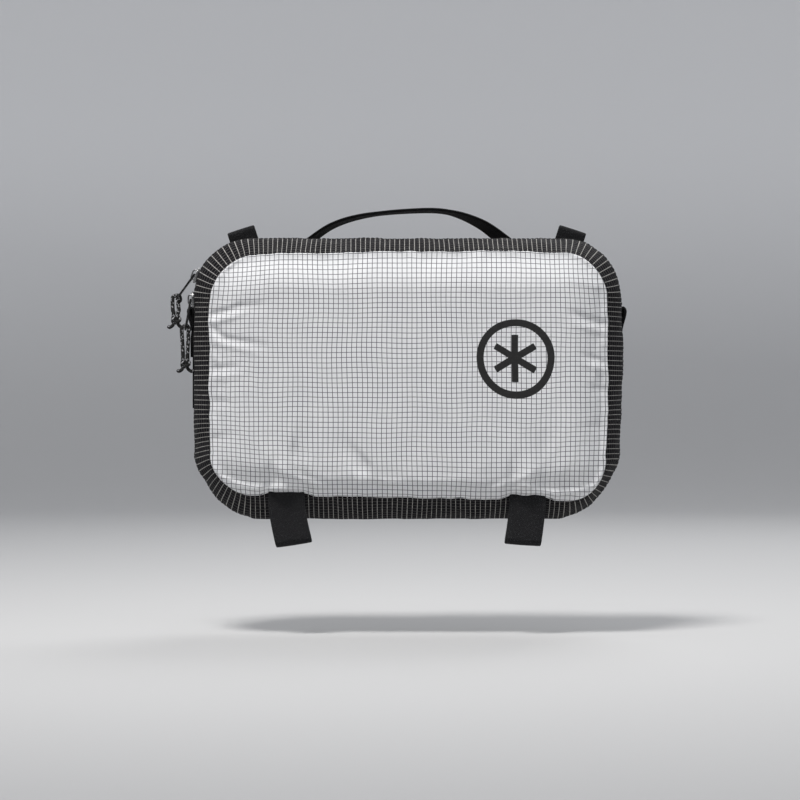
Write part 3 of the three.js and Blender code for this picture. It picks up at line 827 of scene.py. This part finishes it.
GUSSET_CLOTH = 0.8 * MM
SAG = 2.4 * MM
TUCK = 5.5 * MM
TUCK_TOP, TUCK_HEIGHT = -54 * MM, 20 * MM  # where the tuck begins, and how far below it is at its full depth
GUSSET_STITCH = (3.1 * MM, 2.3 * MM, 0.24 * MM)  # pitch, length and radius


def sag_at(points, normals, share):
    """How much further than its even bulge the gusset stands out: it hangs at the bottom and the +X side."""
    down = np.clip(-normals[:, 2], 0, 1) ** 2 * SAG
    right = np.clip(normals[:, 0], 0, 1) * np.exp(-((points[:, 2] - 12 * MM) / (42 * MM)) ** 2) * SAG
    corner = -0.5 * MM * np.abs(normals[:, 0] * normals[:, 2])
    return (down + right + corner) * share


def tuck_at(points, normals):
    """How far the gusset and the zip are drawn in round the two bottom corners."""
    low = np.clip((TUCK_TOP - points[:, 2]) / TUCK_HEIGHT, 0, 1)
    return -TUCK * low * low * (3 - 2 * low) * np.sqrt(np.abs(normals[:, 0]))


def gusset_rings(stations, ys):
    """The gusset's sections between two Y positions, with wrinkles that fade out at the seams."""
    points, normals = outline_points(stations)
    rings = []
    for y in ys:
        share = math.sin(math.pi * (y - REAR_Y) / (FRONT_Y - REAR_Y))
        offset = bulge_at(y) + sag_at(points, normals, share) + share * tuck_at(points, normals)
        at = points + normals * offset[:, None]
        at[:, 1] = y
        slow = wobble(at * [1, 0.45, 1], 19 * MM, 11.0) * 1.5
        fine = wobble(at * [1, 0.35, 1], 8 * MM, 17.0) * 0.9
        seam = math.exp(-min(abs(y - REAR_Y), abs(y - FRONT_Y)) / (8 * MM))
        puckers = wobble(points, 6 * MM, 23.0) * 0.9 * seam
        ripple = (slow + fine) * share**0.6 + puckers * min(1.0, 3 * share)
        zip_calm = min(1.0, abs(y - ZIP_Y) / (14 * MM)) ** 0.7 * 0.85 + 0.15
        at += normals * (ripple * MM * zip_calm)[:, None]
        rings.append(at)
    return np.stack(rings, axis=1), normals


def inward(rings, normals):
    return rings - normals[:, None] * GUSSET_CLOTH


def make_gusset(end, side, body):
    """Half of the gusset, with a rolled hem along the zip."""
    stations = around(420)
    ys = np.linspace(SEAM_Y[side] - side * 0.1 * MM, ZIP_Y + side * ZIP_HALF, 15)
    outer, normals = gusset_rings(stations[:-1], ys)
    hem = outer[:, -1:] - normals[:, None] * GUSSET_CLOTH * 0.5
    hem[..., 1] -= side * 0.45 * MM
    rings = np.concatenate([outer, hem, inward(outer[:, ::-2], normals)], axis=1)
    piece = sweep(f"{end}_gusset_cloth", rings, stations, closed_path=True)
    if side == FRONT:
        settle(piece)
    place(piece, body, "gusset_ripstop", f"{end}_gusset")


def make_fold_strip():
    """The cloth between the two halves along the bottom, where the zip stops and the lid folds."""
    reach = CORNER_X - 2 * MM
    stations = np.linspace(-reach, reach, 111)
    outer, normals = gusset_rings(stations, np.linspace(ZIP_Y + ZIP_HALF, ZIP_Y - ZIP_HALF, 13))
    rings = np.concatenate([outer, inward(outer[:, ::-1], normals)], axis=1)
    piece = sweep("gusset_fold_cloth", rings, stations)
    place(piece, None, "gusset_ripstop")
    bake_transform(piece)


# ---- Stitching ----


# A stitch's own shape at places along it: the share of its length, and of its thread's radius.
STITCH_REACH = np.array([-0.5, -0.36, 0.0, 0.36, 0.5])
STITCH_WIDTH = np.array([0.3, 0.85, 1.0, 0.85, 0.3])
STITCH_LIFT = np.array([-0.5, 0.1, 0.35, 0.1, -0.5])
STITCH_SIDES = 6


def interpolate(at, values, where):
    return np.array([np.interp(where, at, values[:, k]) for k in range(3)])


def stitch_row(name, centres, normals, pitch, length, radius):
    """Stitches along a path: small rounded lengths of thread that dip into the cloth at both ends."""
    at = lengths_along(centres)
    reach = STITCH_REACH * length
    angle = np.linspace(0, 2 * math.pi, STITCH_SIDES, endpoint=False)
    vertices, faces, uvs = [], [], []
    for s in np.arange(0.5 * pitch, at[-1] - 0.4 * length, pitch):
        here, normal = interpolate(at, centres, s), unit(interpolate(at, normals, s))
        ahead = unit(interpolate(at, centres, s + 0.2 * MM) - interpolate(at, centres, s - 0.2 * MM))
        beside = np.cross(ahead, normal)
        more_faces, more_uvs = skin(len(vertices), reach, np.arange(STITCH_SIDES + 1) * radius, len(reach))
        faces += more_faces
        uvs += more_uvs
        for along, width, lift in zip(reach, STITCH_WIDTH * radius, STITCH_LIFT * radius):
            middle = here + along * ahead + lift * normal
            vertices += [middle + width * (math.cos(a) * beside + math.sin(a) * normal) for a in angle]
    return new_piece(name, vertices, faces, uvs)


def make_gusset_stitches(end, side, body):
    """Two rows on each half: beside the seam and beside the zip."""
    rows = []
    for k, y in enumerate((SEAM_Y[side] - side * 2.4 * MM, ZIP_Y + side * (ZIP_HALF + 1.6 * MM))):
        rings, normals = gusset_rings(around(420), [y])
        centres = rings[:, 0] + normals * 0.05 * MM
        rows.append(stitch_row(f"row_{k}", centres, normals, *GUSSET_STITCH))
    piece = joined(f"{end}_gusset_stitches", rows)
    if side == FRONT:
        settle(piece)
    place(piece, body, "thread")


# ---- Layers inside the two halves ----


def make_layer(name, inset, rim_y, thickness, wrinkle):
    """A flat layer of the back half or a domed one of the front half, with the seam's outline."""
    end, kind = name.split("_")[:2]
    x, z = rounded_grid(91, 59, inset)
    depth = depth_inside(x, z)
    y = np.full_like(x, rim_y) - (crown_at(depth - inset) if end == "front" else 0.0)
    points = np.stack([x, y, z], axis=-1)
    creases = wobble(points, 24 * MM, 31.0) * 0.8 + wobble(points * [1, 1, 2.5], 13 * MM, 37.0) * 0.5
    y = y + wrinkle * creases * np.clip(depth / (10 * MM), 0, 1)
    piece = grid_sheet(name, x, y, z)
    thicken(piece, thickness)
    bevel_edges(piece, min(0.3 * thickness, 0.5 * MM))
    if end == "front":
        settle(piece)
    place(piece, "lid" if end == "front" else "back_half", kind, f"{end}_{kind}")


def bevel_edges(piece, width):
    configure(piece.modifiers.new("round_edges", "BEVEL"), width=width, segments=2, limit_method="ANGLE",
              angle_limit=math.radians(50))
    apply_modifiers(piece)
    piece.data.shade_smooth()


def make_layers():
    make_layer("back_foam_pad", 2.2 * MM, -6.9 * MM, 4.6 * MM, wrinkle=0.0)
    make_layer("back_lining_cloth", 2.2 * MM, -8.0 * MM, 0.5 * MM, wrinkle=0.25 * MM)
    make_layer("front_foam_pad", 4.0 * MM, FRONT_Y + 2.3 * MM, 1.8 * MM, wrinkle=0.0)
    make_layer("front_lining_cloth", 3.5 * MM, FRONT_Y + 4.4 * MM, 0.5 * MM, wrinkle=0.2 * MM)


BINDING_WIDTH = 6.5 * MM


def make_binding(end, body, rear_y):
    """Grosgrain folded over the raw edges inside a seam."""
    stations = around(300)
    points, normals = outline_points(stations[:-1])
    section = strap_section(BINDING_WIDTH, 1.4 * MM)
    ripple = wobble(points, 9 * MM, 41.0) * 0.15 * MM
    centre = points - normals * (BINDING_WIDTH / 2 - ripple)[:, None]
    rings = centre[:, None] - section[None, :, 1:] * normals[:, None]
    rings[..., 1] = rear_y - BINDING_WIDTH / 2 + section[None, :, 0]
    piece = sweep(f"{end}_binding_tape", rings, stations, closed_path=True)
    if body == "lid":
        settle(piece)
    place(piece, body, "binding", f"{end}_seam_binding")


BACK_CHANNELS = (-52 * MM, 52 * MM)  # sewn lines down the back pad
CHANNEL_REACH = 66 * MM  # how far they run above and below the middle
BACK_STITCH = (3.4 * MM, 2.5 * MM, 0.28 * MM)


def make_back_pad():
    """The padded back: spacer mesh that swells between its border and two sewn channels."""
    x, z = rounded_grid(161, 101, 0.0)
    depth = depth_inside(x, z)
    past_end = np.maximum(0, np.abs(z) - CHANNEL_REACH)
    from_channel = np.min([np.abs(x - c) + past_end for c in BACK_CHANNELS], axis=0)
    from_stitch = np.minimum(np.abs(depth - 7 * MM), from_channel)
    swell = 1 - np.exp(-from_stitch / (4 * MM))
    lumps = wobble(np.stack([x, 0 * x, z], axis=-1), 30 * MM, 47.0) * 0.25 * MM
    edge = 1.2 * MM * np.exp(-depth / (1.2 * MM))
    y = -2.2 * MM + swell * (2.9 * MM + lumps) - edge
    rim = [(0.3 * MM, -0.4 * MM), (0.2 * MM, -1.2 * MM)]
    piece = grid_sheet("back_pad", -x, y, z, rim)
    thicken(piece, 0.6 * MM)
    place(piece, "back_half", "spacer_mesh", "back_panel")
    rows = []
    for k, channel in enumerate(BACK_CHANNELS):
        centres = np.linspace((channel, -2 * MM, -CHANNEL_REACH), (channel, -2 * MM, CHANNEL_REACH), 60)
        normals = np.tile([0.0, 1.0, 0.0], (60, 1))
        rows.append(stitch_row(f"channel_{k}", centres, normals, *BACK_STITCH))
    place(joined("back_pad_stitches", rows), "back_half", "thread")


def make_pocket():
    """A flat mesh pocket whose elastic top gathers it a little."""
    low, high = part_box("inner_pocket")
    back_y = high.y - 0.2 * MM
    depth = high.y - low.y - 0.9 * MM

    def rise(distance):
        """The share of its depth that the pocket has at a distance from where it is sewn down."""
        return np.sin(math.pi / 2 * np.clip(distance / (9 * MM), 0, 1))

    def gather(x):
        return 0.35 * MM * np.sin(2 * math.pi * x / (7 * MM))

    x, z = np.meshgrid(np.linspace(low.x, high.x, 121), np.linspace(low.z, high.z, 49))
    gathers = gather(x) * np.exp(-(high.z - z) / (12 * MM))
    y = back_y - rise(high.x - np.abs(x)) * rise(z - low.z) * (depth + gathers)
    piece = grid_sheet("inner_pocket_mesh", x, y, z)
    thicken(piece, 0.4 * MM)
    place(piece, "back_half", "pocket_mesh", "inner_pocket")
    low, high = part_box("inner_pocket_elastic")
    x = np.linspace(low.x, high.x, 181)
    lip_y = back_y - rise(high.x - np.abs(x)) * (depth + gather(x))
    centres = np.stack([x, lip_y, np.full_like(x, (low.z + high.z) / 2 - 0.4 * MM)], axis=1)
    hem = strap("inner_pocket_hem", centres, (0, 0, 1), 6 * MM, 1 * MM)
    place(hem, "back_half", "binding", "inner_pocket_elastic")


# ---- Zip ----


ZIP_LENGTH = PERIMETER - 2 * CORNER_X


def zip_line(count):
    """Even places along the outline that the zip runs over, which is all but the straight part of the
    bottom: the distances from its start, the points and their outward normals."""
    stations = np.linspace(CORNER_X, PERIMETER - CORNER_X, count)
    points, normals = outline_points(stations)
    return stations - stations[0], points + normals * tuck_at(points, normals)[:, None], normals


def make_zip_half(end, side, body):
    along, points, normals = zip_line(400)
    rings = []
    for outward, y in [(-0.5, 1.9), (0.25, 1.9), (0.25, 6.8), (-0.5, 6.8)]:
        at = points + normals * (ZIP_OFFSET + outward * MM)
        at[:, 1] = ZIP_Y + side * y * MM
        rings.append(at)
    tape = sweep(f"{end}_zip_tape_cloth", np.stack(rings, axis=1), along)
    bevel_edges(tape, 0.2 * MM)
    place(tape, body, "zip_tape", f"{end}_zip_tape")
    place(coil(f"{end}_zip_coil_teeth", side), body, "zip_coil", f"{end}_zip_coil")


COIL_PITCH = 1.7 * MM
COIL_WIRE = 0.33 * MM


def coil(name, side):
    """Half of the zip's teeth: a flattened helix of nylon wire."""
    turns = int(ZIP_LENGTH / COIL_PITCH)
    run, points, normals = zip_line(turns * 10)
    phase = 2 * math.pi * run / COIL_PITCH + (0.0 if side == REAR else math.pi)
    rise, reach = 0.8 * MM * np.cos(phase), 1.0 * MM * np.sin(phase)
    centres = points + normals * (ZIP_OFFSET + 0.15 * MM + rise)[:, None]
    centres[:, 1] = ZIP_Y + side * 0.95 * MM + reach
    ahead = np.cross(np.array([0.0, 1.0, 0.0]), normals)
    out = normals * np.cos(phase)[:, None]
    out[:, 1] += np.sin(phase)
    angles = np.linspace(0, 2 * math.pi, 5, endpoint=False)
    wire = [centres + COIL_WIRE * (math.cos(a) * out + math.sin(a) * ahead) for a in angles]
    return sweep(name, np.stack(wire, axis=1), lengths_along(centres))


def flat_plate(name, loops, thickness, bevel):
    """A bevelled plate in the YZ plane, from loops of (y, z) points in mm. The first is its outline and the
    rest are holes."""
    curve = bpy.data.curves.new(name, "CURVE")
    configure(curve, dimensions="2D", fill_mode="BOTH", extrude=thickness / 2 - bevel, bevel_depth=bevel,
              bevel_resolution=2, offset=-bevel)
    for loop in loops:
        spline = curve.splines.new("POLY")
        spline.points.add(len(loop) - 1)
        for point, (y, z) in zip(spline.points, loop):
            point.co = (y * MM, z * MM, 0, 1)
        spline.use_cyclic_u = True
    drawn = in_scene(name + "_drawn", curve)
    bpy.context.view_layer.update()
    mesh = shown_mesh(drawn)
    bpy.data.objects.remove(drawn)
    mesh.transform(Matrix(((0, 0, 1, 0), (1, 0, 0, 0), (0, 1, 0, 0), (0, 0, 0, 1))))
    tidy = bmesh.new()
    tidy.from_mesh(mesh)
    bmesh.ops.remove_doubles(tidy, verts=tidy.verts, dist=0.01 * MM)
    bmesh.ops.recalc_face_normals(tidy, faces=tidy.faces)
    tidy.to_mesh(mesh)
    tidy.free()
    mesh.shade_flat()
    return in_scene(name, mesh)


def arc(centre_y, centre_z, radius, start, end, count=12):
    return [(centre_y + radius * math.cos(a), centre_z + radius * math.sin(a))
            for a in np.linspace(start, end, count)]


def rounded_box(half_y, low_z, high_z, radius):
    """A rounded rectangle as (y, z) points, in mm."""
    loop = []
    for corner, (sy, z) in enumerate([(1, low_z), (1, high_z), (-1, high_z), (-1, low_z)]):
        start = math.pi / 2 * (corner - 1)
        centre_z = z + radius if z == low_z else z - radius
        loop += arc(sy * (half_y - radius), centre_z, radius, start, start + math.pi / 2, 5)
    return loop


def slider_body(name):
    """A zip slider: two shield-shaped plates with turned-in sides, a wedge between them, and the bridge."""
    shield = arc(0, 1.2, 4.6, -0.25, math.pi + 0.25, 17) + arc(-2.3, -4.4, 1.1, math.pi, 1.5 * math.pi, 5)
    shield += arc(2.3, -4.4, 1.1, 1.5 * math.pi, 2 * math.pi, 5)
    edge = rounded_box(0.45, -4.8, 3.6, 0.4)
    wedge = arc(0, 3.6, 1.2, 0, math.pi, 7) + [(-0.3, -1.0), (0.3, -1.0)]
    plates = [  # outline, thickness, bevel, and place in X and Y
        (shield, 1.2, 0.3, -2.3, 0),
        (shield, 1.2, 0.3, 2.3, 0),
        (edge, 1.0, 0.2, -1.6, -3.4),
        (edge, 1.0, 0.2, -1.6, 3.4),
        (wedge, 4.2, 0.15, 0, 0),
    ]
    parts = []
    for k, (outline, thickness, bevel, x, y) in enumerate(plates):
        plate = flat_plate(f"plate_{k}", [outline], thickness * MM, bevel * MM)
        plate.data.transform(Matrix.Translation((x * MM, y * MM, 0)))
        parts.append(plate)
    route = [(-2.4, 3.4), (-4.2, 3.3), (-5.3, 2.4), (-5.5, 0.0), (-5.3, -2.4), (-4.2, -3.3), (-2.4, -3.4)]
    centres = smooth_path([(x, 0, z) for x, z in route], 28) * MM
    parts.append(strap("bridge", centres, (0, 1, 0), 2.2 * MM, 0.95 * MM))
    return joined(name, parts)


def tab_body(name):
    """A flat tab with a window for the bridge and an eye for the cord, hanging from its pin."""
    side = [(3.1, 0.75), (3.3, 0.3), (3.3, -5.5), (2.7, -10.0)]
    outline = [(-y, z) for y, z in side]
    outline += arc(0, -18.6, 3.3, math.pi - 0.15, 2 * math.pi + 0.15, 19)
    outline += reversed(side)
    window = rounded_box(2.2, -5.2, -0.65, 0.5)
    eye = arc(0, -18.4, 2.2, 0, 2 * math.pi * 17 / 18, 18)
    return flat_plate(name, [outline, window, eye], 1.2 * MM, 0.22 * MM)


def joint_place(name):
    return Vector(next(j["pos_m"] for j in frame["joints"] if j["name"] == name))


# ---- Zip pulls and their cords ----

PIN_X = 3.8 * MM  # from the slider's middle out to the tab's pin
EYE_DROP = 18.4 * MM  # from the pin down to the tab's eye
CORD_WIDTH = 2.8 * MM
PULLS = {
    "upper": {"slider_turn": 20, "tilt": 36, "drop": 14},
    "lower": {"slider_turn": 0, "tilt": 10, "drop": 24},
}


def cord_route(tilt, drop):
    """The cord loop's points in an upright frame at the tab's eye, in mm. It passes through the eye, clears
    the tab's rim and hangs straight down."""
    turn = Matrix.Rotation(tilt, 3, "Y")
    beside = [turn @ Vector((2.4, 0, -1.8)), turn @ Vector((2.4, 0, -4.2))]
    beside_back = [turn @ Vector((-2.4, 0, -4.2)), turn @ Vector((-2.4, 0, -1.8))]
    centre = -3.6 * math.sin(tilt)
    hang = [Vector((2.1, 0, -10)), Vector((1.6, 0, -0.8 * drop)), Vector((1.6, 0, -drop))]
    right = beside + [v + Vector((centre, 0, 0)) for v in hang]
    left = [Vector((centre - v.x, 0, v.z)) for v in reversed(hang)] + beside_back
    return left + [turn @ Vector((0, 0, 0.2))] + right, centre


def make_knot(name, centre):
    """An overhand knot in both strands, with their cut ends below it."""
    t = np.linspace(0, 2 * math.pi, 121)[:-1]
    wide, swing = 1.75 * MM, 1.0 * MM
    ring = wide + swing * np.cos(3 * t)
    loop = np.stack([ring * np.cos(2 * t), swing * 1.1 * np.sin(3 * t), ring * np.sin(2 * t) * 0.95], axis=1)
    loop = np.vstack([loop, loop[:4]]) + centre
    strands = [tube("wrap", loop, 1.25 * MM)]
    for k, (side, depth) in enumerate([(-1, -0.4), (1, 0.5)]):
        tail = [(side * 0.8, 0, -1.5), (side * 2.2, depth, -4.2), (side * 4.4, depth * 1.5, -5.6),
                (side * 5.6, depth * 2, -4.4)]
        centres = smooth_path(centre + np.array(tail) * MM, 22)
        taper = np.full(22, 1.2 * MM)
        taper[-2:] = (1.05 * MM, 0.6 * MM)
        strands.append(tube(f"tail_{k}", centres, 1.2 * MM, radii=taper))
    return joined(name, strands)


def make_pull(name, slider_turn, tilt, drop):
    pin = joint_place(f"pull_{name}_swing")
    turned = Matrix.Rotation(math.radians(slider_turn), 4, "Y")
    slider = slider_body(f"zip_slider_{name}_body")
    slider.data.transform(Matrix.Translation(pin) @ turned @ Matrix.Translation((PIN_X, 0, 0)))
    place(slider, f"slider_{name}", "zip_metal", f"zip_slider_{name}")
    hung = Matrix.Translation(pin) @ Matrix.Rotation(math.radians(tilt), 4, "Y")
    tab = tab_body(f"zip_tab_{name}_plate")
    tab.data.transform(hung)
    place(tab, f"pull_{name}", "zip_pull_metal", f"zip_tab_{name}")
    eye = np.array(hung @ Vector((0, 0, -EYE_DROP)))
    route, centre_x = cord_route(math.radians(tilt), drop)
    centres = smooth_path(eye + np.array(route) * MM, 90)
    line = tube(f"zip_cord_{name}_loop", centres, CORD_WIDTH / 2, 12)
    place(line, f"pull_{name}", "cord", f"zip_cord_{name}")
    knot = make_knot(f"zip_knot_{name}_tied", eye + np.array([centre_x, 0, -drop - 2.4]) * MM)
    place(knot, f"pull_{name}", "cord", f"zip_knot_{name}")


# ---- Webbing ----


def folded_route(length, half_gap, top=2.0, ply=1.6):
    """A folded loop's middle line as (depth, height) in mm: down the front, round the fold, up the back."""
    fold = -length + half_gap + ply / 2
    turn = np.linspace(math.pi, 2 * math.pi, 13)
    front = [(-ply / 2 - 0.1, top), (-half_gap * 0.55, fold * 0.45)]
    bend = [(half_gap * math.cos(a), fold + half_gap * math.sin(a)) for a in turn]
    back = [(half_gap * 0.45, fold * 0.45), (ply / 2 + 0.1, top)]
    return front + bend + back


LASH_HANG = 28.5  # mm below the hinge that the folded loops hang


def make_lash_loop(name, skew, twist):
    """A folded loop of 25 mm webbing, which hangs a little askew: skewed in mm and twisted in degrees."""
    route = smooth_path([(0, y, z) for y, z in folded_route(LASH_HANG, 3.4, 12)], 90) * MM
    down = -route[:, 2] / (LASH_HANG * MM)
    centres = route + np.outer(skew * MM * np.clip(down, 0, 1) ** 1.3, [1, 0, 0])
    lean = math.radians(twist) * np.clip(down, 0, 1)
    across = np.stack([np.cos(lean), 0 * lean, np.sin(lean)], axis=1)
    hinge = joint_place(f"loop_{name}_swing")
    centres += np.array(hinge)
    piece = strap(f"lash_loop_{name}_webbing", centres, across, 25 * MM, 1.6 * MM, 0.25 * MM)
    place(piece, None, "webbing", f"lash_loop_{name}")
    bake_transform(piece)


def make_anchor_loop(name, side):
    """A short folded loop that stands up behind a top corner."""
    route = smooth_path([(0, y, z) for y, z in folded_route(17, 1.9, 6.0, 1.5)], 60) * MM
    route[:, 1] += wobble(route, 9 * MM, 53.0) * 0.25 * MM
    piece = strap(f"anchor_loop_{name}_webbing", route, (1, 0, 0), 20 * MM, 1.5 * MM, 0.15 * MM)
    low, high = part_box(f"anchor_loop_{name}")
    at = Matrix.Translation((side * 113 * MM, (low.y + high.y) / 2, SEAM_Z + 4.2 * MM))
    piece.data.transform(at @ Matrix.Rotation(math.pi + side * math.radians(18), 4, "Y"))
    place(piece, "back_half", "webbing", f"anchor_loop_{name}")


SIDE_LOOP_Y = -17 * MM


def make_side_loop(name, side):
    """A strip sewn down the side, whose upper end stands free as a teardrop loop."""
    route = [(0.9, -46), (0.9, -20), (1.0, 0), (2.3, 10), (4.9, 19), (5.3, 23.2), (3.1, 25.2), (1.0, 22.8),
             (0.9, 16), (1.9, 8), (2.6, 2), (2.5, -10)]
    centres = smooth_path([(x, 0, z) for x, z in route], 90) * MM
    piece = strap(f"side_loop_{name}_webbing", centres, (0, 1, 0), 20 * MM, 1.4 * MM, 0.1 * MM)
    y, step = SIDE_LOOP_Y, 8 * MM
    slope = math.atan2(bulge_at(y - step) - bulge_at(y + step), 2 * step)
    turn = slope if side > 0 else math.pi - slope
    at = Vector((side * (SEAM_X + bulge_at(y) + 1.1 * MM), y, 24 * MM))
    piece.data.transform(Matrix.Translation(at) @ Matrix.Rotation(turn, 4, "Z"))
    place(piece, "back_half", "webbing", f"side_loop_{name}")


HANDLE_Y = -13 * MM
HANDLE_ROUTE = [(-75, 90.5), (-70, 95.2), (-53, 107), (-31, 114), (0, 117.4), (28, 117), (52, 108.5),
                (70, 95.2), (74, 90.5)]
HANDLE_TWIST = ([-75, -60, -20, 30, 55, 74], [17, 12, 3, 6, 24, 36])  # degrees at places across, in mm


def make_handle():
    """The carry handle with both its feet, as one strap that twists towards its ends."""
    centres = smooth_path([(x * MM, HANDLE_Y, z * MM) for x, z in HANDLE_ROUTE], 110)
    lean = np.radians(np.interp(centres[:, 0] / MM, *HANDLE_TWIST))
    along = unit(np.gradient(centres, axis=0))
    up = np.cross(along, np.tile([0.0, -1.0, 0.0], (len(along), 1)))
    across = np.cos(lean)[:, None] * np.array([0.0, 1.0, 0.0]) + np.sin(lean)[:, None] * up
    piece = strap("carry_handle_webbing", centres, across, 15 * MM, 1.9 * MM, 0.2 * MM)
    place(piece, None, "handle_webbing", "carry_handle", "handle_foot_left", "handle_foot_right")
    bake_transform(piece)


def finish_zip_stops():
    """The two metal stops keep their CAD shape, with rounded edges."""
    for name in ("zip_stop_left", "zip_stop_right"):
        node = frame["nodes"][name]
        node.material_slots[0].material = MATERIAL["zip_metal"]
        rounding = node.modifiers.new("round_edges", "BEVEL")
        configure(rounding, width=0.35 * MM, segments=3, limit_method="ANGLE")


# ---- Studio ----


def make_stage():
    """A pale floor that curves up all round, far outside every view."""
    flat, curve, top, turns = 2.2, 1.4, 1.8, 96
    bends = np.linspace(0.1, math.pi / 2, 14)
    profile = [(flat, 0.0)]
    profile += [(flat + curve * math.sin(a), curve - curve * math.cos(a)) for a in bends]
    profile += [(flat + curve, top)]
    floor_z = cad_box[0].z - 60 * MM
    vertices = [(0, 0, floor_z)]
    for radius, height in profile:
        for angle in np.arange(turns) * 2 * math.pi / turns:
            vertices.append((radius * math.cos(angle), radius * math.sin(angle), floor_z + height))
    faces = [(0, 1 + k, 1 + (k + 1) % turns) for k in range(turns)]
    for a in range(1, 1 + (len(profile) - 1) * turns, turns):
        b = a + turns
        faces += [(a + k, b + k, b + (k + 1) % turns, a + (k + 1) % turns) for k in range(turns)]
    mesh = bpy.data.meshes.new("studio_floor")
    mesh.from_pydata(vertices, [], faces)
    mesh.shade_smooth()
    paper = Surface("studio_paper", 0.9, Specular_IOR_Level=0.1)
    height = paper.node("ShaderNodeSeparateXYZ", 2, {0: paper.node("ShaderNodeTexCoord", "Object")})
    paper.colour(paper.mix(paper.ramp(height, floor_z, floor_z + 0.7), grey(0.5), grey(0.9)))
    mesh.materials.append(paper.material)
    in_scene("studio_floor", mesh)


def add_light(name, place_at, aim, size, power, colour=(1, 1, 1), spread=180):
    light = bpy.data.lights.new(name, "AREA")
    configure(light, shape="DISK", size=size, energy=power, color=colour, spread=math.radians(spread))
    turn = (Vector(aim) - Vector(place_at)).to_track_quat("-Z", "Y")
    configure(in_scene(name, light), location=place_at, rotation_mode="QUATERNION", rotation_quaternion=turn)


def make_lights():
    middle = (0, -0.04, 0)
    add_light("key", (-0.5, -0.9, 1.95), middle, 0.6, 6.6, (1.0, 0.985, 0.965), 70)
    add_light("fill", (1.3, -1.3, 0.6), middle, 1.2, 1.6, (0.96, 0.98, 1.0))
    add_light("back", (0.5, 1.3, 1.5), middle, 1.2, 16)
    world = bpy.data.worlds.new("studio_world")
    world.use_nodes = True
    background = world.node_tree.nodes["Background"]
    background.inputs[0].default_value = (0.93, 0.95, 1.0, 1.0)
    background.inputs[1].default_value = 0.56
    bpy.context.scene.world = world
    bpy.context.scene.view_settings.view_transform = "Standard"


def make_camera():
    """Straight in front, at about the height of the pouch's middle."""
    lens = configure(bpy.data.cameras.new("camera"), lens=130.7, sensor_width=36)
    camera = in_scene("camera", lens)
    distance = 2.0
    camera.location = (-4.8 * MM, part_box("front_panel")[1].y - distance, -16.2 * MM)
    camera.rotation_euler = (math.pi / 2, 0, 0)
    bpy.context.scene.camera = camera


# ---- The pouch ----

make_camera()
for pull, facts in PULLS.items():
    make_pull(pull, **facts)
make_front_panel()
for end, side, body in (("rear", REAR, "back_half"), ("front", FRONT, "lid")):
    make_gusset(end, side, body)
    make_gusset_stitches(end, side, body)
    make_zip_half(end, side, body)
make_fold_strip()
make_layers()
make_binding("rear", "back_half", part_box("rear_seam_binding")[1].y)
make_binding("front", "lid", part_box("front_seam_binding")[1].y)
make_back_pad()
make_pocket()
finish_zip_stops()
make_lash_loop("left", skew=5.5, twist=9)
make_lash_loop("right", skew=-3.5, twist=-4)
for name, side in (("left", -1), ("right", 1)):
    make_anchor_loop(name, side)
    make_side_loop(name, side)
make_handle()
make_stage()
make_lights()
